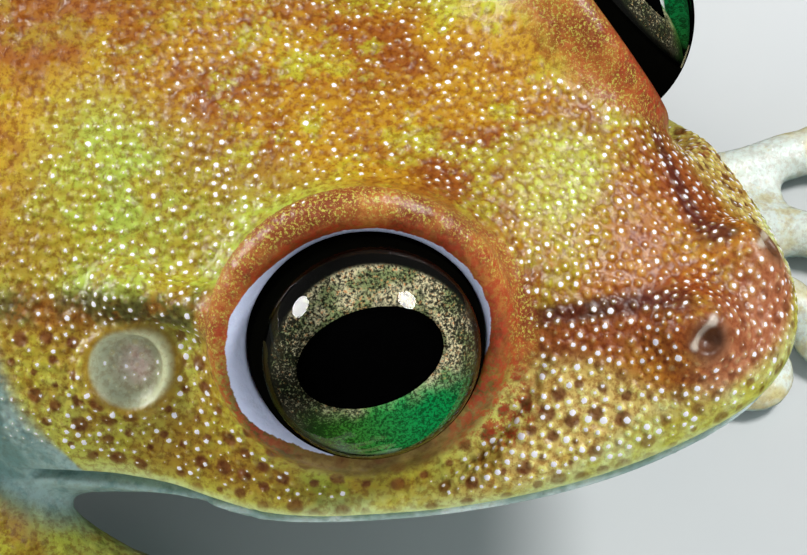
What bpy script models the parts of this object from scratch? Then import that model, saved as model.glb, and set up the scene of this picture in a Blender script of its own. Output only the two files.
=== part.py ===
"""A small tree frog at rest, life size: a still museum model in named, parted pieces.

Each mass of flesh is sculpted as a block of sampled distances, in millimetres, from named
sizes. Its surface is meshed, thinned, cut flat at the floor and parted at the joints.
The frog faces -Y, its right side is at -X, and it rests on the plane Z = 0.
"""

import math

import bmesh
import bpy
import numpy as np
import openvdb
from mathutils import Matrix, Vector

# Meshing
MM = 0.001
STEP = 0.14
FAR = 9.0
JOINT_GAP = 0.3
SET_BACK = -0.48
ROUGH_FACES = 40000
HEAD_FACES = 4950
TORSO_FACES = 2400
ARM_FACES = 1500
UPPER_LEG_FACES = 900
LOWER_LEG_FACES = 1300

# Colours
BACK, SIDES = (0.42, 0.25, 0.05), (0.36, 0.33, 0.07)
CROWN, EYES = (0.45, 0.27, 0.05), (0.10, 0.12, 0.08)
SHINS, DIGITS = (0.52, 0.50, 0.30), (0.40, 0.28, 0.10)
SKIN_ROUGHNESS, EYE_ROUGHNESS = 0.35, 0.08

# The head has a frame of its own, with its origin midway between the eyes.
# A place on it is given outwards from the midline, forward and up, in millimetres.
HEAD_PLACE = (0.0, -12.0, 7.3)
HEAD_PITCH = math.radians(8.0)
SNOUT_REACH = 5.52
NECK = -6.2

# Stations along the head: the distance forward of the eyes, and a size there
LIP_WIDTH = (
    (-8, 4.4), (-6, 5.0), (-4, 5.7), (-2, 5.85), (0, 5.62), (2, 4.85), (4, 3.44), (5, 2.38), (6.5, 1.2)
)
CANTHUS_WIDTH = ((-8, 2.9), (-4, 2.6), (-2, 2.4), (0, 2.2), (2, 1.8), (3, 1.4), (4.7, 1.05), (6.5, 0.9))
SIDE_BULGE = ((-8, 0.9), (-5, 0.8), (-3.7, 0.75), (-1.5, 0.4), (1.5, 0.0), (3.5, -0.15), (5, 0.0), (6.5, 0.0))
CROWN_HEIGHT = (
    (-8, 0.8), (-4, 1.05), (-1, 1.1), (1, 0.9), (2, 0.55), (3, 0.1), (4, -0.28), (5, -0.55), (6.5, -0.9)
)
LIP_HEIGHT = ((-8, -2.9), (-6, -3.0), (-4, -3.0), (0, -2.85), (2, -2.6), (4, -2.2), (5, -1.95), (6.5, -1.7))
THROAT_HEIGHT = ((-8, -4.7), (-4, -4.6), (0, -4.4), (3, -3.8), (5, -3.0), (6.5, -2.4))

EYE_RADIUS = 1.8
EYE_GAP = 0.2
EYE_OUT = 3.85
LID_RADIUS = 2.35
LID_RIM = (2.16, 0.24, 0.4)
LID_HIGH = (-0.6, -0.3, 0.7)
LID_FACING = (0.76, 0.50, 0.42)
LID_RIM_SHIFT = (0.0, -0.12, 0.08)

NOSTRIL = (1.12, 4.65, -0.35)
NOSTRIL_RADIUS = 0.2
TYMPANUM = (4.9, -3.55, -1.3)
TYMPANUM_FACING = (0.94, 0.05, 0.34)
TYMPANUM_RADIUS = 0.66
NOSTRIL_SWELLING, NOSTRIL_SLANT = (-0.27, -0.3, -0.22), (0.6, 0.25, 0.35)
EAR_FOLD = ((4.4, -2.3, 0.0), (4.5, -3.9, -0.2), (4.8, -5.2, -1.4), (4.7, -6.0, -2.8))
# The mouth: how far below the lip it runs, how it curves down behind the bend, and its size
MOUTH_DROP, MOUTH_CURVE, MOUTH_BEND, MOUTH_CORNER = 0.18, 0.14, -3.2, -4.9
MOUTH_OPENING, MOUTH_DEPTH = 0.13, 0.3

# Stations along the trunk: a place along Y, and a size there
TRUNK_WIDTH = ((-9, 4.2), (-5, 4.9), (0, 5.6), (4, 5.9), (8, 5.3), (11, 4.2), (14, 3.2), (17, 2.1), (19, 1.0))
TRUNK_TOP = ((-9, 7.5), (-5, 7.9), (0, 8.8), (4, 9.3), (8, 8.9), (12, 7.3), (15, 5.6), (17, 4.3), (19, 3.2))
TRUNK_BOTTOM = (
    (-9, 3.0), (-5, 1.9), (0, 0.7), (5, -0.1), (9, -0.1), (12, 0.4), (15, 1.1), (17, 1.6), (19, 2.2)
)
VENT = 18.0

# Roots of the limbs as round masses: the middle, the radii, the reach and the blend into the trunk
SHOULDER_MASS = ((4.1, -6.9, 3.5), (1.8, 2.3, 2.0), (2.3, 2.6, 2.3), 1.5)
HIP_MASS = ((2.9, 12.6, 4.0), (2.1, 2.4, 2.0), (3, 3, 2.6), 1.8)
# The ridge over the hip bone runs from its front end to its back end
RIDGE_FRONT, RIDGE_BACK = (2.6, 3.5, 7.9), (0.9, 15.5, 4.9)
RIDGE_THICKNESS = ((0, 0.5), (1, 0.6))

# Joints of the limbs: outwards from the midline, along Y, and up
ARMS = {
    "right": {"shoulder": (4.2, -6.9, 4.0), "elbow": (7.2, -2.4, 2.2), "wrist": (6.2, -10.2, 1.3)},
    "left": {"shoulder": (4.2, -6.9, 4.0), "elbow": (7.2, -4.0, 2.2), "wrist": (5.9, -11.9, 1.2)},
}
LEG = {
    "hip": (2.9, 13.2, 4.0),
    "knee": (13.5, 2.0, 4.2),
    "heel": (6.9, 18.4, 2.9),
    "instep": (13.0, 11.4, 1.1),
}

# Thickness of the limbs, as radii along each from 0 to 1
UPPER_ARM_THICKNESS = ((0, 1.5), (0.4, 1.35), (0.8, 1.05), (1, 1.0))
FOREARM_THICKNESS = ((0, 1.05), (0.3, 1.28), (0.7, 0.95), (1, 0.72))
THIGH_THICKNESS = ((0, 2.3), (0.25, 2.45), (0.6, 2.1), (0.9, 1.6), (1, 1.5))
SHANK_THICKNESS = ((0, 1.5), (0.15, 1.55), (0.38, 1.75), (0.75, 1.15), (0.93, 0.95), (1, 1.05))
TARSUS_THICKNESS = ((0, 1.0), (0.2, 0.95), (0.6, 0.8), (1, 0.8))
PALM_SIZE, PALM_HEIGHT = (1.35, 1.25, 0.68), 0.72
SOLE_SIZE, SOLE_HEIGHT = (1.35, 1.9, 0.64), 0.66

# Digits from the innermost: heading from straight ahead, turned outwards, and length
FINGERS = ((-28, 3.5), (-4, 4.3), (20, 6.0), (50, 5.0))
FINGER_RADIUS = 0.36
FINGER_DISC = (0.78, 0.82, 0.42)
PALM_WEB = (0.42, 0.4, 0.38)
TOES = ((-14, 3.6), (0, 5.0), (12, 6.9), (24, 8.6), (38, 7.0))
TOE_RADIUS = 0.36
TOE_DISC = (0.7, 0.74, 0.4)
FOOT_WEB = (0.5, 0.5, 0.55, 0.6)
DIGIT_HEIGHT = 0.42
# Thickness along a digit, as shares of its radius, and the place of its joint
DIGIT_SWELLING = ((0, 1.3), (0.3, 0.95), (0.55, 1.12), (0.75, 0.9), (1, 1.0))
DIGIT_JOINT = 0.58
WEB_HEIGHT, WEB_HALF = 0.36, 0.26


def blended_least(a, b, blend):
    """The smaller of two distances, with the crease between them filled over blend."""
    share = np.clip(blend - np.abs(a - b), 0, None) / blend
    return np.minimum(a, b) - share * share * blend / 4


def blended_most(a, b, blend):
    return -blended_least(-a, -b, blend)


def profile(stations):
    """A smooth curve through (place, size) stations, as a function of place."""
    places, sizes = np.array(stations, float).T
    slopes = np.gradient(sizes, places)

    def curve(at):
        at = np.clip(at, places[0], places[-1])
        i = np.clip(np.searchsorted(places, at) - 1, 0, len(places) - 2)
        span = places[i + 1] - places[i]
        t = (at - places[i]) / span
        before = (1 + 2 * t) * (1 - t) ** 2 * sizes[i] + t * (1 - t) ** 2 * span * slopes[i]
        after = t * t * (3 - 2 * t) * sizes[i + 1] - t * t * (1 - t) * span * slopes[i + 1]
        return before + after

    return curve


def ball(centre, radius):
    def distance(x, y, z):
        dx, dy, dz = x - centre[0], y - centre[1], z - centre[2]
        return np.sqrt(dx**2 + dy**2 + dz**2) - radius

    return distance


def egg(centre, radii, turn=Matrix.Identity(3)):
    """An ellipsoid. Its axes are the rows of turn."""

    def distance(x, y, z):
        dx, dy, dz = x - centre[0], y - centre[1], z - centre[2]
        near, far = 0.0, 0.0
        for row, radius in zip(turn, radii):
            reach = (row[0] * dx + row[1] * dy + row[2] * dz) / radius
            near = near + reach * reach
            far = far + reach * reach / radius**2
        near, far = np.sqrt(near), np.sqrt(far) + 1e-9
        return near * (near - 1) / far

    return distance


def taper(start, end, stations):
    """A round bar from start to end. Stations give its radius along it, from 0 to 1."""
    start, end = np.array(start, float), np.array(end, float)
    axis = end - start
    span = axis @ axis
    radius = profile(stations) if len(stations) > 2 else None
    first, last = stations[0][1], stations[-1][1]

    def distance(x, y, z):
        dx, dy, dz = x - start[0], y - start[1], z - start[2]
        t = np.clip((dx * axis[0] + dy * axis[1] + dz * axis[2]) / span, 0, 1)
        away = np.sqrt((dx - t * axis[0]) ** 2 + (dy - t * axis[1]) ** 2 + (dz - t * axis[2]) ** 2)
        return away - (radius(t) if radius else first + (last - first) * t)

    return distance


def hoop(centre, facing, high, radius, thickness, swell):
    """A ring round the direction facing, thicker by the share swell on its high side."""

    def distance(x, y, z):
        dx, dy, dz = x - centre[0], y - centre[1], z - centre[2]
        along = dx * facing[0] + dy * facing[1] + dz * facing[2]
        across = np.sqrt(np.maximum(dx**2 + dy**2 + dz**2 - along**2, 1e-6))
        rise = (dx * high[0] + dy * high[1] + dz * high[2]) / across
        return np.sqrt((across - radius) ** 2 + along**2) - thickness * (1 + swell * rise)

    return distance


def open_side(centre, facing, radius):
    """The half of a ball that faces a direction."""

    def distance(x, y, z):
        along = (x - centre[0]) * facing[0] + (y - centre[1]) * facing[1] + (z - centre[2]) * facing[2]
        return np.maximum(-along, ball(centre, radius)(x, y, z))

    return distance


def eardrum_height(away):
    """How far the eardrum stands out, by the distance from its middle."""
    rim = 0.13 * np.exp(-(((away - TYMPANUM_RADIUS) / 0.15) ** 2))
    dish = 0.07 / (1 + np.exp((away - TYMPANUM_RADIUS * 0.9) / 0.05))
    return rim - dish


def web(root, left, right, height, half_thickness):
    """A level three-cornered sheet of skin, given by its corners seen from above."""
    corners = [np.array(corner[:2], float) for corner in (root, left, right)]
    middle = sum(corners) / 3

    def distance(x, y, z):
        edge = -FAR
        for i in range(3):
            a, b = corners[i], corners[(i + 1) % 3]
            out = np.array((b[1] - a[1], a[0] - b[0]))
            out = out / np.hypot(*out)
            if (middle - a) @ out > 0:
                out = -out
            edge = np.maximum(edge, (x - a[0]) * out[0] + (y - a[1]) * out[1])
        return blended_most(edge, np.abs(z - height) - half_thickness, 0.3) + 0 * (x + y + z)

    return distance


class Clay:
    """A block of sampled distances in millimetres, below zero inside the flesh."""

    def __init__(self, low, high, step):
        self.low, self.step = np.array(low, float), step
        counts = np.ceil((np.array(high, float) - self.low) / step).astype(int) + 1
        self.axes = [self.low[i] + step * np.arange(counts[i]) for i in range(3)]
        self.depth = np.full(counts, FAR)

    def block(self, low, high):
        """The slices of the samples in a box, and their coordinates."""
        cut = tuple(slice(*np.searchsorted(self.axes[i], (low[i], high[i]))) for i in range(3))
        x, y, z = (self.axes[i][cut[i]] for i in range(3))
        return cut, (x[:, None, None], y[None, :, None], z[None, None, :])

    def add(self, shape, middle, reach, blend=0.1):
        """Joins a shape that lies within reach of middle."""
        middle, reach = np.array(middle, float), np.array(reach) + 1.2 * blend + 0.4
        cut, at = self.block(middle - reach, middle + reach)
        self.depth[cut] = blended_least(self.depth[cut], shape(*at), blend)

    def carve(self, shape, middle, reach, blend=0.1):
        middle, reach = np.array(middle, float), np.array(reach) + blend + 0.3
        cut, at = self.block(middle - reach, middle + reach)
        self.depth[cut] = blended_most(self.depth[cut], -shape(*at), blend)

    def emboss(self, middle, normal, reach, height):
        """Raises the surface round an axis by height, a function of the distance from it."""
        middle = np.array(middle, float)
        cut, (x, y, z) = self.block(middle - reach, middle + reach)
        dx, dy, dz = x - middle[0], y - middle[1], z - middle[2]
        along = dx * normal[0] + dy * normal[1] + dz * normal[2]
        away = np.sqrt(np.maximum(dx**2 + dy**2 + dz**2 - along**2, 0))
        self.depth[cut] = self.depth[cut] - height(away)

    def mesh(self, name):
        grid = openvdb.FloatGrid(FAR)
        grid.copyFromArray(np.ascontiguousarray(self.depth))
        grid.transform = openvdb.createLinearTransform(self.step)
        points, triangles, quads = grid.convertToPolygons(0.0, 0.0)
        points = (points + self.low) * MM
        faces = triangles[:, ::-1].tolist() + quads[:, ::-1].tolist()
        mesh = bpy.data.meshes.new(name)
        mesh.from_pydata(points.tolist(), [], faces)
        piece = bpy.data.objects.new(name, mesh)
        bpy.context.collection.objects.link(piece)
        return piece


def head_spot(out, ahead, up):
    """A place on the head, as a place in the world."""
    swing_ahead, swing_up = math.cos(HEAD_PITCH), math.sin(HEAD_PITCH)
    return (
        HEAD_PLACE[0] + out,
        HEAD_PLACE[1] - ahead * swing_ahead + up * swing_up,
        HEAD_PLACE[2] + ahead * swing_up + up * swing_ahead,
    )


def head_way(out, ahead, up):
    """A direction on the head, as a direction in the world."""
    spot, origin = head_spot(out, ahead, up), head_spot(0, 0, 0)
    return Vector([a - b for a, b in zip(spot, origin)]).normalized()


def on_head(x, y, z):
    """World coordinates as distances outwards, forward and up on the head."""
    dy, dz = y - HEAD_PLACE[1], z - HEAD_PLACE[2]
    ahead = -dy * math.cos(HEAD_PITCH) + dz * math.sin(HEAD_PITCH)
    up = dy * math.sin(HEAD_PITCH) + dz * math.cos(HEAD_PITCH)
    return np.abs(x), ahead, up


lip_width, canthus_width, side_bulge = profile(LIP_WIDTH), profile(CANTHUS_WIDTH), profile(SIDE_BULGE)
crown_height, lip_height, throat_height = profile(CROWN_HEIGHT), profile(LIP_HEIGHT), profile(THROAT_HEIGHT)
trunk_width, trunk_top, trunk_bottom = profile(TRUNK_WIDTH), profile(TRUNK_TOP), profile(TRUNK_BOTTOM)


def skull(x, y, z):
    """The head without its eyes: crown, sides down to the lip, throat and cut-off snout."""
    out, ahead, up = on_head(x, y, z)
    lip, throat, crown = lip_height(ahead), throat_height(ahead), crown_height(ahead)
    wide = lip_width(ahead)
    rise = np.clip((up - lip) / (crown - lip), 0, 1.1)
    side = wide + (canthus_width(ahead) - wide) * rise + side_bulge(ahead) * 4 * rise * (1 - rise)
    slope = (canthus_width(ahead) - wide) / (crown - lip)
    cheek = (out - side) / np.sqrt(1 + slope**2)
    top = up - crown + 0.02 * out**2
    deep = lip - throat
    jaw = ((out / wide) ** 1.7 + (np.clip(lip - up, 0, None) / deep) ** 1.7) ** (1 / 1.7) - 1
    jaw = jaw * 0.8 * np.minimum(wide, deep * 1.3)
    tip = ahead - SNOUT_REACH + 0.16 * out**2 + 0.33 * (up + 1.5) ** 2
    upper = blended_most(top, cheek, 0.9)
    return blended_most(blended_most(upper, jaw, 0.35), tip * 0.9, 0.9)


def trunk(x, y, z):
    wide, top, bottom = trunk_width(y), trunk_top(y), trunk_bottom(y)
    middle = bottom + 0.46 * (top - bottom)
    tall = np.where(z > middle, top - middle, middle - bottom)
    size = ((np.abs(x) / wide) ** 2.3 + (np.abs(z - middle) / tall) ** 2.3) ** (1 / 2.3)
    loaf = (size - 1) * np.minimum(wide, tall) * 0.95
    ends = np.maximum(y - VENT, -7.5 - y)
    return blended_most(loaf, ends, 1.5)


def sculpt_body(clay):
    """The trunk and head, with the roots of the limbs."""
    clay.add(trunk, (0, 5, 4), (9, 18, 8), 0.1)
    clay.add(skull, head_spot(0, -1, -1.5), (7.5, 9, 6), 1.6)
    for side in (-1, 1):
        # Shoulder, hip and the ridge along the back over the hip bone
        for middle, radii, reach, blend in (SHOULDER_MASS, HIP_MASS):
            middle = (side * middle[0], middle[1], middle[2])
            clay.add(egg(middle, radii), middle, reach, blend)
        front, back = ((side * end[0], end[1], end[2]) for end in (RIDGE_FRONT, RIDGE_BACK))
        clay.add(taper(front, back, RIDGE_THICKNESS), (side * 2, 9.5, 6.4), (2, 7, 2.6), 1.6)
        # Eyelids: a bulge on the head with a rolled rim, open over the socket for the eyeball
        eye = head_spot(side * EYE_OUT, 0, 0)
        facing = head_way(side * LID_FACING[0], LID_FACING[1], LID_FACING[2])
        clay.add(ball(eye, LID_RADIUS), eye, (LID_RADIUS,) * 3, 1.0)
        clay.carve(open_side(eye, facing, LID_RADIUS + 0.4), eye, (LID_RADIUS + 0.4,) * 3, 0.5)
        rim = head_spot(side * (EYE_OUT + LID_RIM_SHIFT[0]), LID_RIM_SHIFT[1], LID_RIM_SHIFT[2])
        high = head_way(side * LID_HIGH[0], LID_HIGH[1], LID_HIGH[2])
        clay.add(hoop(rim, facing, high, *LID_RIM), rim, (LID_RADIUS + 0.4,) * 3, 0.25)
        clay.carve(ball(eye, EYE_RADIUS + EYE_GAP), eye, (EYE_RADIUS + EYE_GAP,) * 3, 0.05)
        # The fold of skin from the eye over the eardrum to the shoulder
        fold = [head_spot(side * out, ahead, up) for out, ahead, up in EAR_FOLD]
        for start, end in zip(fold, fold[1:]):
            middle = [(a + b) / 2 for a, b in zip(start, end)]
            clay.add(taper(start, end, ((0, 0.3), (1, 0.3))), middle, (1.4, 1.4, 1.4), 0.45)
        # Eardrum: a low ring round a shallow dish
        drum = head_spot(side * TYMPANUM[0], TYMPANUM[1], TYMPANUM[2])
        normal = head_way(side * TYMPANUM_FACING[0], TYMPANUM_FACING[1], TYMPANUM_FACING[2])
        clay.emboss(drum, normal, 1.5, eardrum_height)
        # Nostril: a low swelling and a slanted pit in it
        nose = head_spot(side * NOSTRIL[0], NOSTRIL[1], NOSTRIL[2])
        swelling, pit_end = (
            head_spot(side * (NOSTRIL[0] + shift[0]), NOSTRIL[1] + shift[1], NOSTRIL[2] + shift[2])
            for shift in (NOSTRIL_SWELLING, NOSTRIL_SLANT)
        )
        clay.add(ball(swelling, 0.5), nose, (0.9, 0.9, 0.9), 0.7)
        pit = taper(nose, pit_end, ((0, NOSTRIL_RADIUS), (1, NOSTRIL_RADIUS)))
        clay.carve(pit, nose, (0.9, 0.9, 0.9), 0.12)
    # The mouth runs round the snout just below the lip, back to a corner below the eardrum
    middle, reach = np.array(head_spot(0, 0, -2.5)), np.array((6.6, 6.6, 2.6))
    cut, at = clay.block(middle - reach, middle + reach)
    out, ahead, up = on_head(*at)
    drop = MOUTH_DROP + MOUTH_CURVE * np.clip(MOUTH_BEND - ahead, 0, None) ** 2
    near = np.abs(up - lip_height(ahead) + drop) - MOUTH_OPENING
    flesh = clay.depth[cut]
    slit = np.maximum(np.maximum(near, -flesh - MOUTH_DEPTH), MOUTH_CORNER - ahead)
    clay.depth[cut] = blended_most(flesh, -slit, 0.14)


def digit(clay, root, heading, length, radius, disc, side, height=DIGIT_HEIGHT):
    """One finger or toe with its joints and its disc. Returns a function for places along it."""
    way = np.array((side * math.sin(math.radians(heading)), -math.cos(math.radians(heading))))

    def along(t, up=height):
        spot = np.array(root[:2]) + way * length * t
        return (spot[0], spot[1], up)

    tip = 1 - disc[1] / length
    bones = [(place, radius * share) for place, share in DIGIT_SWELLING]
    clay.add(taper(root, along(tip), bones), along(0.5), np.abs(way * length / 2).tolist() + [1.5], 0.25)
    clay.add(ball(along(DIGIT_JOINT, height + 0.02), radius * 1.2), along(DIGIT_JOINT), (0.6,) * 3, 0.2)
    turn = Matrix(((way[1], -way[0], 0), (way[0], way[1], 0), (0, 0, 1)))
    clay.add(egg(along(tip, height * 0.85), disc, turn), along(tip), (1.1,) * 3, 0.22)
    return along


def sculpt_arm(clay, side, arm):
    shoulder, elbow, wrist = ((side * p[0], p[1], p[2]) for p in arm.values())
    clay.add(taper(shoulder, elbow, UPPER_ARM_THICKNESS), elbow, (5, 6, 4), 0.1)
    clay.add(taper(elbow, wrist, FOREARM_THICKNESS), wrist, (3, 9, 3), 0.5)
    palm = (wrist[0] + side * 0.25, wrist[1] - 1.4, PALM_HEIGHT)
    clay.add(taper(wrist, palm, ((0, 0.72), (1, 0.75))), palm, (2, 3, 2), 0.4)
    clay.add(egg(palm, PALM_SIZE), palm, (1.7, 1.7, 1.2), 0.5)
    roots = []
    for i, (heading, length) in enumerate(FINGERS):
        root = (palm[0] + side * (-0.75 + 0.5 * i), palm[1] - 0.55 + 0.13 * i, 0.5)
        roots.append((root, digit(clay, root, heading, length, FINGER_RADIUS, FINGER_DISC, side)))
    for i, share in enumerate(PALM_WEB):
        (root, one), (_, other) = roots[i], roots[i + 1]
        fork = ((root[0] + roots[i + 1][0][0]) / 2, (root[1] + roots[i + 1][0][1]) / 2 + 0.5)
        clay.add(web(fork, one(share), other(share), WEB_HEIGHT, WEB_HALF), one(0.4), (3, 3, 1), 0.3)


def sculpt_upper_leg(clay, side):
    hip, knee, heel = ((side * LEG[k][0], LEG[k][1], LEG[k][2]) for k in ("hip", "knee", "heel"))
    clay.add(taper(hip, knee, THIGH_THICKNESS), knee, (15, 16, 6), 0.1)
    clay.add(taper(knee, heel, SHANK_THICKNESS), heel, (10, 20, 6), 0.7)


def sculpt_lower_leg(clay, side):
    heel, instep = ((side * LEG[k][0], LEG[k][1], LEG[k][2]) for k in ("heel", "instep"))
    clay.add(taper(heel, instep, TARSUS_THICKNESS), instep, (9, 10, 4), 0.1)
    sole = (instep[0] + side * 0.25, instep[1] - 2.2, SOLE_HEIGHT)
    clay.add(taper(instep, sole, ((0, 0.85), (1, 0.8))), sole, (2.5, 4, 2), 0.5)
    clay.add(egg(sole, SOLE_SIZE), sole, (2, 2.6, 1.4), 0.5)
    roots = []
    for i, (heading, length) in enumerate(TOES):
        root = (sole[0] + side * (-0.85 + 0.42 * i), sole[1] - 0.9 + 0.3 * abs(i - 1.5), 0.5)
        roots.append((root, digit(clay, root, heading, length, TOE_RADIUS, TOE_DISC, side)))
    for i, share in enumerate(FOOT_WEB):
        (root, one), (_, other) = roots[i], roots[i + 1]
        fork = ((root[0] + roots[i + 1][0][0]) / 2, (root[1] + roots[i + 1][0][1]) / 2 + 0.5)
        clay.add(web(fork, one(share), other(share * 0.9), WEB_HEIGHT, WEB_HALF), one(0.4), (4, 5, 1), 0.3)


def clear_of(clay, sculpt, *details):
    """Stops a piece of flesh at the joint gap from another piece."""
    wall = Clay(clay.low, clay.low, clay.step)
    wall.axes, wall.depth = clay.axes, np.full(clay.depth.shape, FAR)
    sculpt(wall, *details)
    clay.depth = np.maximum(clay.depth, JOINT_GAP - wall.depth)


def select_only(piece):
    bpy.ops.object.select_all(action="DESELECT")
    piece.select_set(True)
    bpy.context.view_layer.objects.active = piece


def apply_modifier(piece, modifier):
    select_only(piece)
    bpy.ops.object.modifier_apply(modifier=modifier.name)


def keep_largest(piece):
    """Drops stray crumbs, so that one closed body is left."""
    bm = bmesh.new()
    bm.from_mesh(piece.data)
    left = set(bm.verts)
    groups = []
    while left:
        stack = [left.pop()]
        group = [stack[0]]
        while stack:
            for edge in stack.pop().link_edges:
                for vert in edge.verts:
                    if vert in left:
                        left.discard(vert)
                        stack.append(vert)
                        group.append(vert)
        groups.append(group)
    groups.sort(key=len)
    for group in groups[:-1]:
        bmesh.ops.delete(bm, geom=group, context="VERTS")
    bm.to_mesh(piece.data)
    bm.free()


def thin(piece, faces):
    """Thins a mesh to a number of triangles."""
    keep_largest(piece)
    select_only(piece)
    count = sum(len(polygon.vertices) - 2 for polygon in piece.data.polygons)
    modifier = piece.modifiers.new("Thin", "DECIMATE")
    modifier.ratio = faces / count
    modifier.use_collapse_triangulate = True
    apply_modifier(piece, modifier)


def box_cutter(name, low, high, turn=Matrix.Identity(4)):
    bm = bmesh.new()
    bmesh.ops.create_cube(bm, size=1.0)
    for vert in bm.verts:
        vert.co = [(low[i] + (high[i] - low[i]) * (vert.co[i] + 0.5)) * MM for i in range(3)]
    mesh = bpy.data.meshes.new(name)
    bm.to_mesh(mesh)
    bm.free()
    cutter = bpy.data.objects.new(name, mesh)
    cutter.matrix_world = turn
    cutter.hide_render = True
    cutter.display_type = "WIRE"
    bpy.context.collection.objects.link(cutter)
    return cutter


def boolean(piece, cutter, operation):
    bpy.context.view_layer.update()
    modifier = piece.modifiers.new("Cut", "BOOLEAN")
    modifier.operation = operation
    modifier.solver = "EXACT"
    modifier.object = cutter
    apply_modifier(piece, modifier)


def flatten_sole(piece):
    """Cuts the piece flat at the floor."""
    floor = box_cutter("floor_cutter", (-40, -40, -10), (40, 40, 0))
    boolean(piece, floor, "DIFFERENCE")
    bpy.data.objects.remove(floor)


def part_at(piece, point, normal, name):
    """Parts a piece in two at a plane, and returns the half on the side of the normal."""
    turn = Vector(normal).to_track_quat("Z", "Y").to_matrix().to_4x4()
    turn.translation = Vector(point) * MM
    other = piece.copy()
    other.data = piece.data.copy()
    other.name = other.data.name = name
    bpy.context.collection.objects.link(other)
    for half, low, high in ((piece, -JOINT_GAP / 2, 60), (other, -60, JOINT_GAP / 2)):
        cutter = box_cutter("joint_cutter", (-60, -60, low), (60, 60, high), turn)
        boolean(half, cutter, "DIFFERENCE")
        bpy.data.objects.remove(cutter)
    return other


def bend_plane(before, joint, after):
    """The plane that halves the bend of a limb at a joint."""
    before, joint, after = Vector(before), Vector(joint), Vector(after)
    return joint, ((after - joint).normalized() - (before - joint).normalized()).normalized()


def paint(piece, colour, roughness):
    material = bpy.data.materials.new(piece.name)
    material.use_nodes = True
    surface = material.node_tree.nodes["Principled BSDF"]
    surface.inputs["Base Color"].default_value = (*colour, 1.0)
    surface.inputs["Roughness"].default_value = roughness
    piece.data.materials.clear()
    piece.data.materials.append(material)
    for polygon in piece.data.polygons:
        polygon.use_smooth = True


def make_body():
    clay = Clay((-8, -19.5, -0.6), (8, 20, 11), STEP)
    sculpt_body(clay)
    body = clay.mesh("torso")
    thin(body, ROUGH_FACES)
    head = part_at(body, head_spot(0, NECK, -1.5), head_way(0, 1, 0.12), "head")
    thin(head, HEAD_FACES)
    thin(body, TORSO_FACES)
    flatten_sole(body)
    return body, head


def make_arm(side, label):
    clay = Clay((min(side * 2.5, side * 13), -18.5, -0.6), (max(side * 2.5, side * 13), 1, 7), STEP)
    sculpt_arm(clay, side, ARMS[label])
    clear_of(clay, sculpt_body)
    upper = clay.mesh(f"{label}_upper_arm")
    thin(upper, ARM_FACES)
    flatten_sole(upper)
    shoulder, elbow, wrist = ((side * p[0], p[1], p[2]) for p in ARMS[label].values())
    forearm = part_at(upper, *bend_plane(shoulder, elbow, wrist), f"{label}_forearm")
    palm = (wrist[0], wrist[1] - 3, wrist[2])
    hand = part_at(forearm, *bend_plane(elbow, wrist, palm), f"{label}_hand")
    return upper, forearm, hand


def make_leg(side, label):
    hip, knee, heel, instep = ((side * p[0], p[1], p[2]) for p in LEG.values())
    clay = Clay((min(side * 1, side * 16), -1, 0.2), (max(side * 1, side * 16), 21, 8), STEP)
    sculpt_upper_leg(clay, side)
    clear_of(clay, sculpt_body)
    thigh = clay.mesh(f"{label}_thigh")
    thin(thigh, UPPER_LEG_FACES)
    shank = part_at(thigh, *bend_plane(hip, knee, heel), f"{label}_shank")
    clay = Clay((min(side * 5, side * 20), -1, -0.6), (max(side * 5, side * 20), 21, 5), STEP)
    sculpt_lower_leg(clay, side)
    clear_of(clay, sculpt_upper_leg, side)
    tarsus = clay.mesh(f"{label}_tarsus")
    thin(tarsus, LOWER_LEG_FACES)
    flatten_sole(tarsus)
    ahead = (instep[0], instep[1] - 3, instep[2])
    foot = part_at(tarsus, *bend_plane(heel, instep, ahead), f"{label}_foot")
    return thigh, shank, tarsus, foot


def make_eye(side, label):
    bm = bmesh.new()
    bmesh.ops.create_uvsphere(bm, u_segments=28, v_segments=14, radius=EYE_RADIUS * MM)
    mesh = bpy.data.meshes.new(f"{label}_eye")
    bm.to_mesh(mesh)
    bm.free()
    eye = bpy.data.objects.new(f"{label}_eye", mesh)
    eye.location = Vector(head_spot(side * EYE_OUT, 0, 0)) * MM
    bpy.context.collection.objects.link(eye)
    return eye


def main():
    for thing in list(bpy.data.objects):
        bpy.data.objects.remove(thing, do_unlink=True)
    body, head = make_body()
    paint(body, BACK, SKIN_ROUGHNESS)
    paint(head, CROWN, SKIN_ROUGHNESS)
    for side, label in ((-1, "right"), (1, "left")):
        paint(make_eye(side, label), EYES, EYE_ROUGHNESS)
        colours = (SIDES, SIDES, DIGITS, BACK, BACK, SHINS, DIGITS)
        for piece, colour in zip(make_arm(side, label) + make_leg(side, label), colours):
            paint(piece, colour, SKIN_ROUGHNESS)
    # The middle of its length stands over the origin
    for piece in bpy.data.objects:
        piece.data.transform(Matrix.Translation((0, SET_BACK * MM, 0)))


main()
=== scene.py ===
"""Looks for the small tree frog: one skin over the whole body, wet eyes, floor and light."""

import math

import bmesh
import bpy
import numpy as np
import openvdb
from mathutils import Matrix, Vector
from mathutils.kdtree import KDTree


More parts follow.
